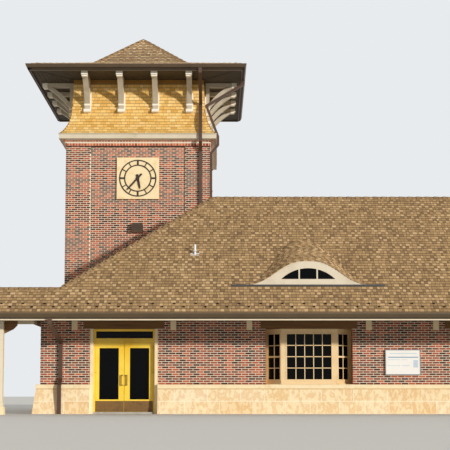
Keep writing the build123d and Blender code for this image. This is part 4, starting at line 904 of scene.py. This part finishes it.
def run_mesh(name, profile, edges, material, level=0.0):
    """Straight runs of a closed profile, given as inward and upward, mitred at their corners."""
    corners, faces = [], []
    count = len(profile)
    for start, end, start_corner, end_corner in edges:
        start, end = Vector(start), Vector(end)
        ahead = (end - start).normalized()
        inward = Vector((-ahead.y, ahead.x))
        first, last = len(corners), len(corners) + count
        for end_point, slide in ((start, start_corner), (end, -end_corner)):
            for depth, rise in profile:
                spot = end_point + inward * depth + ahead * slide * depth
                corners.append((spot.x, spot.y, level + rise))
        faces += [[first + n, first + (n + 1) % count, last + (n + 1) % count, last + n]
                  for n in range(count)]
        faces += [[first + n for n in range(count)], [last + n for n in range(count)]]
    return closed_mesh(name, corners, faces, material)


def square_edges(half):
    """The four edges of a square round the tower."""
    ring = [tower_mid.xy + Vector(c) * half for c in ((-1, -1), (1, -1), (1, 1), (-1, 1))]
    return [(ring[n], ring[(n + 1) % 4], convex, convex) for n in range(4)]


tower_edges = square_edges(tower_half_eave)
fitted("eave_gutters", [run_mesh("hall_gutters", gutter_shape, eave_edges, gutter_paint_and_highlight, eave_level),
                        run_mesh("gutter_shadow_strips", gutter_shadow_strip_shape, eave_edges, dark_metal, eave_level),
                        run_mesh("tower_gutters", gutter_shape, tower_edges, dark_metal, tower_eave)],
       replaces=("gutters",))
fitted("raked_joint", [run_mesh("raked_joint", corbel_shadow_profile, square_edges(tower_wide / 2), raked_joint)])

# Fascias: cream painted boards behind the gutters; on the tower they are wrapped in bent
# metal sheet of the gutters' dark colour.
cream = finish("cream_paint", ("dccbad", "e4d5ba", "d6c4a4"), 0.9, 0.5, 0.0003, fine=14.0)
tower_fascia_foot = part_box("tower_shingle_band")[1].z - 0.055
dressed(cream, "fascia_boards")
sheet_gap, sheet, wrap_inner = 0.0005, 0.003, 0.164
wrap_outer, wrap_top = gutter_deep - 0.002, tower_eave - 0.14
outside_foot, inside_foot = tower_fascia_foot - sheet, tower_fascia_foot - sheet_gap
wrap = [(wrap_outer, wrap_top), (wrap_outer, outside_foot), (wrap_inner, outside_foot),
        (wrap_inner, band_top), (wrap_inner - sheet, band_top), (wrap_inner - sheet, inside_foot),
        (gutter_deep - sheet_gap, inside_foot), (gutter_deep - sheet_gap, wrap_top)]
fitted("fascia_wrap", [run_mesh("fascia_wrap", wrap, tower_edges, dark_metal)])

# Soffits: narrow softwood boards with a dark stain, nailed up along the eaves on the packed
# soffits, with a cover strip over each mitre.
soffit_stain = finish("soffit_stain", ("3d3424", "4a3f2c", "352c1e"), 0.25, 0.7, 0.0006,
                      stretch=(0.12, 1, 1), tones=("382f20", "4a3f2b", "41372a"), tone_share=0.5,
                      fine=8.0)
dressed(soffit_stain, "soffits")
board_wide, board_long, board_thick = 0.14, 3.6, 0.012
board_inner, board_outer = 2.3, 0.165


def boards(corner, turn, level, inner, left, right, left_lean, right_lean, outer=board_outer):
    """Boards under an eave, laid from the wall outwards, so that their faces look down."""
    sizes = {"Course Height": board_wide, "Height": board_wide - 0.006, "Joint": 0.002,
             "Thickness": board_thick, "Left Lean": left_lean, "Right Lean": right_lean,
             "Stagger": 0.37, "Seed": 5}
    return lay(board_shape, soffit_stain, [(inner, level), (outer, level)], left, right, board_long,
               turn, on_plan(corner), **sizes)


board_shape = wedge("board_shape", 1.0, 1.0, 0.2)
canopy_deep, tower_board_inner = 2 * canopy_half, tower_half_eave - tower_wide / 2
board_fields = [
    boards(front_corner, 0, hall_soffit, canopy_deep - board_outer, canopy_start, wide, 1, -1),
    boards(front_corner, 0, hall_soffit, board_inner, 0.3, wide, 0, -1, canopy_deep - board_outer),
    boards(right_front, quarter, hall_soffit, board_inner, 0, deep, 1, -1),
    boards(right_rear, 2 * quarter, hall_soffit, board_inner, 0, rear_wide, 1, 0),
    boards(left_corner, -quarter, hall_soffit, 0.3, 0, tower_front - canopy_rear + board_outer, 0, 0)]
board_fields += [boards(tower_corner(turns, tower_half_eave), turns * quarter, band_top,
                        tower_board_inner + 0.22, 0, 2 * tower_half_eave, 1, -1) for turns in range(4)]
fitted("soffit_boards", board_fields)


def turned_block(low, high, place, angle):
    """Eight corners of a block that is turned about the upright through its place."""
    spin = Matrix.Translation(place) @ Matrix.Rotation(angle, 4, "Z")
    return [tuple(spin @ Vector(corner)) for corner in box_block(low, high)]


strip_half, strip_thick, root2 = 0.05, 0.02, math.sqrt(2)
mitres = [(right_front, 3 * quarter / 2, hall_soffit, board_inner),
          (right_rear, 5 * quarter / 2, hall_soffit, board_inner)]
mitres += [(tower_corner(turns, tower_half_eave), quarter / 2 + turns * quarter, band_top,
            tower_board_inner + 0.2) for turns in range(4)]
strips = [turned_block((board_outer * root2, -strip_half, level - strip_thick),
                       (inner * root2, strip_half, level), on_plan(corner), angle)
          for corner, angle, level, inner in mitres]
fitted_blocks("soffit_mitre_strips", strips, soffit_stain)

# Beams over the openings, the canopy beam and its brackets: heavy sawn timber, stained warm
# brown, with its grain along the beams; the brackets brace the canopy beam from its posts.
# the brown stain is kept darker than its own colour, as painted shade under the eaves
beam_stain_and_shade = finish("beam_stain_and_shade", ("68461f", "7a5429", "573918"), 0.12, 0.68, 0.0009,
                    stretch=(0.06, 1, 1), fine=9.0)
dressed(beam_stain_and_shade, "timber_beams", "canopy_brackets")

# Canopy posts: square timber posts with cream paint, set on stone feet; planed boards are
# nailed round them as a base, a bead over it and a band below the head.
dressed(cream, "canopy_posts")
post_middles = (-5.875, -9.025, -12.175)
post_foot, post_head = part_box("canopy_post_feet")[1].z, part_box("canopy_posts")[1].z
post_y = eave_front + canopy_half
base_high, bead_high, base_half, bead_half = 0.12, 0.03, 0.108, 0.099
trims = [box_block((x - out, post_y - out, low), (x + out, post_y + out, high)) for x in post_middles
         for low, high, out in ((post_foot, post_foot + base_high, base_half),
                                (post_foot + base_high, post_foot + base_high + bead_high, bead_half),
                                (post_head - 0.36, post_head - 0.36 + bead_high, bead_half))]
fitted_blocks("post_trims", trims, cream, 0.004)

# Glass of the doors and windows: dark panes, set in their frames and leaves; their near-black
# colour is partly tint and partly painted shade of the rooms behind them, which stay dim.
tinted_glass_and_room_shade = finish("tinted_glass_and_room_shade", ("0c1012", "151a1c"), 1.5, 0.04, fine=2.0, shine=0.06)
pane_shader = tinted_glass_and_room_shade.node_tree.nodes["Principled BSDF"].inputs
pane_shader["Transmission Weight"].default_value, pane_shader["IOR"].default_value = 0.92, 1.2
dressed(tinted_glass_and_room_shade, "left_door_glass", "right_door_glass", "fixed_door_glass", "window_glass",
        "dormer_window_glass")

# Door units: yellow gloss on metal frames and leaves, glazing beads round the panes, worn bronze
# kick plates, C-shaped pulls and thresholds; the hinges are painted over.
yellow_gloss = finish("yellow_gloss", ("f6ca30", "fbd548", "f0c024"), 0.8, 0.34, 0.0002, fine=16.0)
worn_bronze = finish("worn_bronze", ("74562f", "866740", "644824"), 0.10, 0.5, 0.0004, metal=0.35,
                     fine=12.0)
hardware = finish("door_hardware", ("66481f", "7f5c2c", "573c1a"), 0.10, 0.5, 0.0004, fine=12.0,
                  second=("f6ca30", "fbd548"), limits=(0.42, 0.70, 1.17))
dressed(yellow_gloss, "door_frames", "left_door_leaf", "right_door_leaf", "fixed_door_leaves")
dressed(hardware, "left_door_hardware", "right_door_hardware", "fixed_door_hardware")
door_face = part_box("left_door_leaf")[0].y
pane_low, pane_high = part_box("left_door_glass")
door_centres = [x + hall_left for x in door_middles]
bead, bead_sunk, frame_half, light_half = 0.014, 0.003, 0.9, 0.85
light_foot, light_head, drip_foot, drip_head = 2.2, 2.43, 2.085, 2.125
floor_level, threshold_high, threshold_deep = 0.05, 0.004, 0.095


def ring_blocks(low, high, front, back, wide, outside=0.0):
    """Four strips round an upright opening, from its edge inwards, or outwards as well."""
    (x0, z0), (x1, z1) = low, high
    x0, z0, x1, z1 = x0 - outside, z0 - outside, x1 + outside, z1 + outside
    return [box_block((x0, front, z0), (x0 + wide, back, z1)),
            box_block((x1 - wide, front, z0), (x1, back, z1)),
            box_block((x0 + wide, front, z0), (x1 - wide, back, z0 + wide)),
            box_block((x0 + wide, front, z1 - wide), (x1 - wide, back, z1))]


pane_ends = pane_low.x - door_centres[0], pane_high.x - door_centres[0]
sills, transoms = [], []
for unit, centre in zip(("door", "fixed"), door_centres):
    for side, name in ((1, "left"), (-1, "right")):
        left, right = sorted(centre + side * x for x in pane_ends)
        beads = ring_blocks((left, pane_low.z), (right, pane_high.z), door_face + bead_sunk, pane_low.y,
                            bead)
        fitted_blocks(f"{unit}_{name}_beads", beads, yellow_gloss,
                      body="root" if unit == "fixed" else name + "_leaf")
    left, right = centre - light_half, centre + light_half
    sills.append(box_block((left, door_face - 0.005, floor_level),
                           (right, door_face + threshold_deep, floor_level + threshold_high)))
    transoms += ring_blocks((left, light_foot), (right, light_head), door_face + 0.03,
                            door_face + 0.05, bead)
    transoms.append(box_block((centre - frame_half, door_face - 0.018, drip_foot),
                              (centre + frame_half, door_face, drip_head)))
fitted_blocks("door_thresholds", sills, worn_bronze)
fitted_blocks("transom_beads", transoms, yellow_gloss)

# Bay window: cream painted timber with glazing bars, five panes wide in front and two in each
# canted flank, a meeting rail in the flanks and a sill along the foot.
warm_cream = finish("window_paint", ("e5c48f", "edcf9e", "ddb983"), 0.9, 0.5, 0.0003, fine=14.0)
dressed(warm_cream, "bay_window_frame", "plain_window_frames")
bar_half, bar_front, glass_back = 0.012, 0.006, 0.026
pane_foot, pane_head = 1.002, 2.327


def bars(left, right, low, high, columns, rows, front=bar_front, back=glass_back, rails=()):
    """Glazing bars over a pane, in its own plan; rails are rows whose bar is a meeting rail."""
    made = []
    for n in range(1, columns):
        x = left + (right - left) * n / columns
        made.append(((x - bar_half, front, low), (x + bar_half, back, high)))
    for n in range(1, rows):
        z = low + (high - low) * n / rows
        half = 2 * bar_half if n in rails else bar_half
        made.append(((left, front - (0.006 if n in rails else 0), z - half), (right, back, z + half)))
    return made


head_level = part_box("door_frames")[1].z
bay_centre = (bay_low.x + bay_high.x) / 2
bay_front_half, bay_back = 0.825, 0.455
front_stile, inner_stile, outer_stile = 0.175, 0.045, 0.13
flank_long = math.hypot(bay_half - bay_front_half, bay_back)
cant = math.atan2(bay_back, bay_half - bay_front_half)
bay_plans = [((-bay_front_half, 0), 0.0, 2 * bay_front_half, front_stile, front_stile, 5, ()),
             ((bay_front_half, 0), cant, flank_long, inner_stile, outer_stile, 2, (2,)),
             ((-bay_half, bay_back), -cant, flank_long, outer_stile, inner_stile, 2, (2,))]
casing, casing_front, casing_back = 0.035, -0.008, 0.02
bay_blocks = []
for spot, angle, long, near, far, columns, rails in bay_plans:
    left, right = near, long - far
    foot, head = pane_foot - casing, pane_head + casing
    parts = bars(left, right, pane_foot, pane_head, columns, 4, rails=rails)
    parts += [((left - casing, casing_front, foot), (left, casing_back, head)),
              ((right, casing_front, foot), (right + casing, casing_back, head)),
              ((left, casing_front, foot), (right, casing_back, pane_foot)),
              ((left, casing_front, pane_head), (right, casing_back, head)),
              ((0.0, -0.035, brick_foot), (long, 0.0, brick_foot + 0.035)),
              ((0.01, -0.014, head_level - 0.05), (long - 0.01, 0.0, head_level))]
    place = on_plan((bay_centre + spot[0], hall_front + spot[1]))
    bay_blocks += [turned_block(low, high, place, angle) for low, high in parts]
sill_stones = []
for side in (-1, 1):
    ends = [(bay_front_half, 0), (bay_half, 0), (bay_half, wall_thick),
            (bay_front_half + (bay_half - bay_front_half) * wall_thick / bay_back, wall_thick)]
    sill_stones.append([(bay_centre + side * x, hall_front + y, level)
                        for level in (brick_foot, brick_foot + 0.006) for x, y in ends[::side]])
fitted_blocks("bay_sill_stones", sill_stones, plain_stone)
fitted_blocks("bay_glazing_bars", bay_blocks, warm_cream, 0.002)

# Plain windows of the far sides: painted timber like the bay's, with two by two panes in each
# of two sashes, glazing bars fixed over the glass and a sill set into the wall.
sash_rail, window_head, window_sill = 0.07, 2.33, 0.03
middle_rail = (brick_foot + window_head) / 2
sashes = ((brick_foot + sash_rail, middle_rail - sash_rail / 2),
          (middle_rail + sash_rail / 2, window_head - sash_rail))
window_places = [((hall_right, hall_front), quarter, hall_deep / 2),
                 ((hall_left, tower_front), -quarter, left_long / 2)]
window_places += [((hall_right, hall_rear), 2 * quarter, middle) for middle in rear_middles]
window_blocks = []
for corner, turn, middle in window_places:
    left, right = middle - window_half, middle + window_half
    parts = [part for low, high in sashes for part in
             bars(left + sash_rail, right - sash_rail, low, high, 2, 2, window_recess + 0.012,
                  window_recess + 0.036)]
    parts.append(((left, window_sill, brick_foot), (right, window_recess, brick_foot + window_sill)))
    window_blocks += [turned_block(low, high, on_plan(corner), turn) for low, high in parts]
fitted_blocks("window_glazing_bars", window_blocks, warm_cream, 0.002)

# Eyebrow dormer: a cream painted face board under a hood of bent shingles; its courses follow
# the curve from one foot to the other, and a bent metal flashing lies along its foot.
dormer_face, dormer_foot = -5.605, 3.638
dormer_middle = sum(corner.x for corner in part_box("eyebrow_dormer")) / 2
dormer_rise, bell_width, bell_power, hood_pitch, dormer_half = 0.712, 1.09, 2.7, 0.427, 1.615
dormer_paint = finish("dormer_paint", ("cabda6", "d4c8b2", "c2b49b"), 0.9, 0.5, 0.0003, fine=14.0,
                      second=("5d4a35", "6b563e"), axis="Y", limits=(dormer_face + 0.012,))
dressed(dormer_paint, "eyebrow_dormer", "dormer_window_frame")


def bell(x):
    """Height of the hood's curve over its foot, at a distance from its middle."""
    return dormer_rise * math.exp(-(abs(x) / bell_width) ** bell_power)


def tabs_tree():
    """Node tree that sets a shingle on each point, turned and sized by what the point carries."""
    tree = bpy.data.node_groups.new("tabs_over_hood", "GeometryNodeTree")
    for name, kind in (("Geometry", "NodeSocketGeometry"), ("Piece", "NodeSocketObject"),
                       ("Material", "NodeSocketMaterial")):
        tree.interface.new_socket(name, in_out="INPUT", socket_type=kind)
    tree.interface.new_socket("Geometry", in_out="OUTPUT", socket_type="NodeSocketGeometry")
    given = step(tree, "NodeGroupInput").outputs
    spots = step(tree, "GeometryNodeMeshToPoints", {"Mesh": given["Geometry"]}).outputs[0]
    turn, extent = [step(tree, "GeometryNodeInputNamedAttribute", {"Name": name},
                         data_type="FLOAT_VECTOR").outputs[0] for name in ("turn", "extent")]
    turned = step(tree, "FunctionNodeEulerToRotation", {0: turn}).outputs[0]
    piece = step(tree, "GeometryNodeObjectInfo", {"Object": given["Piece"]}).outputs["Geometry"]
    laid = {"Points": spots, "Instance": piece, "Rotation": turned, "Scale": extent}
    laid = step(tree, "GeometryNodeInstanceOnPoints", laid).outputs[0]
    laid = {"Geometry": step(tree, "GeometryNodeRealizeInstances", {"Geometry": laid}).outputs[0],
            "Material": given["Material"]}
    laid = step(tree, "GeometryNodeSetMaterial", laid).outputs[0]
    tree.links.new(laid, step(tree, "NodeGroupOutput").inputs[0])
    return tree


uphill = Vector((0, 1, hood_pitch)).normalized()
closing = roof_pitch * uphill.y - uphill.z
tab_wide, tab_exposure = shingle_module, shingle_exposure * 0.93
spots, turns, extents, tones = [], [], [], []
course = 0
while dormer_rise > closing * course * tab_exposure + 0.02:
    along = course * tab_exposure - 0.02
    x = -dormer_half + tab_wide * (0.25 + 0.5 * (course % 2))
    while x < dormer_half:
        slope = (bell(x + 0.01) - bell(x - 0.01)) / 0.02
        if bell(x) > closing * (along + 0.06) + 0.004:
            across = Vector((1, 0, slope)).normalized()
            normal = across.cross(uphill).normalized()
            frame_of_tab = Matrix((normal.cross(-uphill), -normal, uphill)).transposed()
            foot = Vector((dormer_middle + x, dormer_face, dormer_foot + bell(x)))
            spots.append(foot + uphill * along)
            turns.append(tuple(frame_of_tab.to_euler()))
            extents.append((tab_wide + 0.004, shingle_thickness, tab_exposure + 0.03))
            tones.append(0.45 * (len(spots) % 2) + 0.55 * chance.random())
        x += tab_wide / math.hypot(1, slope)
    course += 1
seats = bpy.data.meshes.new("tab_seats")
seats.from_pydata(spots, [], [])
for name, kind, values in (("turn", "FLOAT_VECTOR", turns), ("extent", "FLOAT_VECTOR", extents)):
    layer = seats.attributes.new(name, kind, "POINT")
    layer.data.foreach_set("vector", [v for row in values for v in row])
seats.attributes.new("tone", "FLOAT", "POINT").data.foreach_set("value", tones)
hood_mesh = grown(tabs_tree(), seats, {"Piece": shingle, "Material": roof_shingle})
fitted("dormer_hood_shingles", [hood_mesh])

lead_grey = finish("lead_flashing", ("3f4145", "4b4d50"), 0.3, 0.5, 0.0003, metal=0.4, fine=15.0)
flash_half, flash_front, flash_rise = 2.17, 0.05, 0.03
flash_lines = [(dormer_face - back, eave_level + roof_pitch * (dormer_face - back - eave_front)
                + 1.5 * shingle_thickness) for back in (flash_front, 0.0)]
ends = [(-1, flash_lines[0]), (1, flash_lines[0]), (1, flash_lines[1]), (-1, flash_lines[1])]
flash_block = [(dormer_middle + side * flash_half, y, z + up)
               for up in (0, flash_rise / 2) for side, (y, z) in ends]
fitted_blocks("dormer_flashing", [flash_block], lead_grey)

# Vent pipe through the front slope: sheet metal with pale paint, flashed with a plate on the
# shingles and closed by a storm collar, which is clamped round it above the plate.
vent_paint = finish("vent_paint", ("d3d4d3", "dfdfdd", "c6c8ca"), 0.1, 0.45, 0.0002, fine=12.0)
dressed(vent_paint, "vent_pipe")
vent_low, vent_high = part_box("vent_pipe")
vent_middle = (vent_low + vent_high) / 2


def turned_profile(name, profile, middle, sides, material):
    """A shape turned about an upright line, from its radius and level, bottom to top."""
    count = len(profile)
    turns = [2 * math.pi * n / sides for n in range(sides)]
    corners = [(middle[0] + radius * math.cos(turn), middle[1] + radius * math.sin(turn), level)
               for radius, level in profile for turn in turns]
    faces = [[ring * sides + n, ring * sides + (n + 1) % sides,
              (ring + 1) % count * sides + (n + 1) % sides, (ring + 1) % count * sides + n]
             for ring in range(count) for n in range(sides)]
    return closed_mesh(name, corners, faces, material)


collar_foot = vent_high.z - 0.19
collar = [(radius, collar_foot + rise) for radius, rise in
          ((0.0352, 0.0), (0.075, -0.012), (0.075, -0.006), (0.036, 0.02), (0.0352, 0.02))]
collar_mesh = turned_profile("vent_collar", collar, vent_middle, 20, vent_paint)
fitted("vent_collar", [collar_mesh])

# Downspouts: square sheet-metal pipes, painted a dark brown near the gutters' colour and held
# to the walls by bent metal straps.
pipe_paint = finish("pipe_paint", ("4c3527", "573e2e"), 0.5, 0.42, 0.0002, fine=20.0)
dressed(pipe_paint, "downspouts")
pipe_half, pipe_out, pipe_inset, tower_pipe_inset = 0.055, 0.08, 0.59, 0.32
strap_half, strap_out, strap_high = pipe_half + 0.012, pipe_out + 0.004, 0.035
hall_levels, tower_levels = (1.15, 1.95), (8.45, 7.3, 6.2)
left_pipe, right_pipe = hall_left + pipe_inset, hall_right - pipe_inset
strap_plans = [((x - strap_half, hall_front - strap_out), (x + strap_half, hall_front), level)
               for x in (left_pipe, right_pipe) for level in hall_levels]
strap_plans += [((right_pipe - strap_half, hall_rear),
                 (right_pipe + strap_half, hall_rear + strap_out), level) for level in hall_levels]
x, y = tower_high.x - tower_pipe_inset, tower_front + tower_pipe_inset
for level in tower_levels:
    strap_plans += [((x - strap_half, tower_front - strap_out), (x + strap_half, tower_front), level),
                    ((tower_high.x, y - strap_half), (tower_high.x + strap_out, y + strap_half), level)]
straps = [box_block((*low, level), (*high, level + strap_high)) for low, high, level in strap_plans]
fitted_blocks("pipe_straps", straps, pipe_paint)

# Cornice of the tower: a board with weathered cream paint round the brickwork, with a planed
# crown, a small moulding along its foot and a bent metal drip nailed on its top.
weathered_cream = finish("weathered_cream", ("c9bca3", "d3c7b0", "c1b499"), 0.7, 0.55, 0.0003,
                         fine=14.0)
dressed(weathered_cream, "tower_cornice")
cornice_low, cornice_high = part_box("tower_cornice")
crown = ((0.0, -0.045), (-0.016, -0.03), (-0.016, 0.0), (0.0, 0.0))
drip = ((-0.020, -0.006), (-0.020, 0.006), (0.05, 0.012), (0.05, 0.0))
bed = ((0.0, 0.0), (0.0, 0.03), (-0.008, 0.022), (-0.008, 0.0))
cornice_edges = square_edges((cornice_high.x - cornice_low.x) / 2)
fitted("cornice_trim", [run_mesh("crown", crown, cornice_edges, weathered_cream, cornice_top),
                        run_mesh("bed", bed, cornice_edges, weathered_cream, cornice_low.z),
                        run_mesh("drip", drip, cornice_edges, dark_metal, cornice_top)])

# Tower brackets: cream painted timber; each has a stepped block at its nose, one round its foot
# and a wider board behind it on the shingles.
# the brackets' bodies take a darker copy of their cream paint, which is painted shade of their sides
shaded_bracket_copy = finish("shaded_bracket_paint", ("b4a992", "c2b7a1", "a89c85"), 0.7, 0.55, 0.0003, fine=14.0)
bracket_white = finish("bracket_white", ("ece3d2", "f5eddd", "e2d8c6"), 0.7, 0.5, 0.0003, fine=14.0)
dressed(shaded_bracket_copy, "tower_brackets")
bracket_drop, bracket_spacing, bracket_count = band_top - bracket_foot, 1.17, 4
bracket_seat = tower_wide / 2 + band_out(bracket_foot)
bracket_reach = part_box("tower_brackets")[1].x - tower_mid.x - bracket_seat
# half width, near and far end from the seat, and foot and head under the soffit of each block
bracket_parts = ((0.11, bracket_reach - 0.16, bracket_reach + 0.015, -0.14, -0.012),
                 (0.096, bracket_reach - 0.17, bracket_reach - 0.02, -0.19, -0.14),
                 (0.125, 0.0, 0.16, -bracket_drop - 0.012, -bracket_drop + 0.085),
                 (0.105, 0.0, 0.15, -bracket_drop + 0.2, -bracket_drop + 0.27),
                 (0.125, -0.03, 0.018, -bracket_drop - 0.03, -0.50))
bracket_blocks = []
for turns in range(4):
    for number in range(bracket_count):
        along = (number - (bracket_count - 1) / 2) * bracket_spacing
        bracket_blocks += [
            turned_block((along - half, -bracket_seat - far, band_top + foot),
                         (along + half, -bracket_seat - near, band_top + head),
                         tower_mid, turns * quarter)
            for half, near, far, foot, head in bracket_parts]
fitted_blocks("bracket_trim", bracket_blocks, bracket_white, 0.003)

# Clock: a sawn stone panel in the tower's face, with dark bronze rings and marks pinned on it
# and bronze hands on an arbor; it has no lettering.
clock_bronze = finish("clock_bronze", ("33281f", "40342a"), 0.2, 0.45, 0.0002, metal=0.3, fine=15.0)
clock_stone = finish("clock_stone", ("ecd3a2", "f2ddb2", "e4c68f"), 0.22, 0.8, 0.0006, fine=12.0)
dressed(clock_bronze, "clock_dials", "clock_arbors", "hour_hand", "minute_hand", "fixed_clock_hands")
dressed(clock_stone, "clock_panels")

# Wall light under the clock: a bronze box fixed to the brickwork, open at its foot, with a
# frosted pane set into the opening.
lamp_bronze = finish("lamp_bronze", ("3f2f22", "4d3b2b"), 0.15, 0.5, 0.0003, metal=0.3, fine=12.0)
frosted = finish("frosted_pane", ("d8d4c8", "e4e0d4"), 0.2, 0.6, 0.0002)
dressed(lamp_bronze, "wall_light")
light_low, light_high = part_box("wall_light")
light_pane = box_block((light_low.x + 0.03, light_low.y + 0.03, light_low.z - 0.004),
                       (light_high.x - 0.03, light_high.y - 0.01, light_low.z))
fitted_blocks("wall_light_pane", [light_pane], frosted)

# Notice board: a shallow white case on the front wall, with a thin grey metal frame round it;
# its sheet has one blue rule and pale bands printed on it, and no text.
white = finish("white_sheet", ("ece9e3", "f3f0ea"), 0.5, 0.5, 0.0002)
case_grey = finish("case_grey", ("8d8f90", "9b9d9e"), 0.3, 0.4, 0.0002, metal=0.5)
rule_blue = finish("rule_blue", ("3f78a8", "4a86b5"), 0.2, 0.6, 0.0001)
pale_band = finish("pale_band", ("b9cbd9", "c9d6e0"), 0.2, 0.6, 0.0001)
dressed(white, "notice_board")
case_low, case_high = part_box("notice_board")
frame_strips = ring_blocks((case_low.x, case_low.z), (case_high.x, case_high.z), case_low.y - 0.006,
                           case_low.y + 0.02, 0.022, outside=0.004)
wide_case = case_high.x - case_low.x


def sheet_band(left, right, drop, high):
    """A printed band on the sheet, in shares of its width, at a drop below the case's head."""
    foot = case_high.z - drop
    return box_block((case_low.x + wide_case * left, case_low.y - 0.001, foot),
                     (case_low.x + wide_case * right, case_low.y, foot + high))


bands = [sheet_band(*band) for band in ((0.06, 0.42, 0.30, 0.014), (0.46, 0.62, 0.30, 0.014),
                                        (0.06, 0.42, 0.47, 0.014), (0.46, 0.70, 0.47, 0.014),
                                        (0.80, 0.93, 0.52, 0.22), (0.12, 0.9, 0.12, 0.02))]
fitted("notice_case", [solid_mesh("notice_frame", frame_strips, case_grey),
                       solid_mesh("notice_bands", bands, pale_band),
                       solid_mesh("notice_rule", [sheet_band(0.08, 0.94, 0.23, 0.022)], rule_blue)])

# Rooms: trowelled concrete floors and plain painted ceiling boards, nailed up under the roof;
# both are seen through the glass.
concrete = finish("trowelled_concrete", ("a7a199", "b5b0a8", "979188"), 0.5, 0.8, 0.0005)
ceiling_paint = finish("ceiling_paint", ("cfcac0", "d9d4ca"), 0.6, 0.8, 0.0003)
dressed(concrete, "floor")
dressed(ceiling_paint, "ceiling")
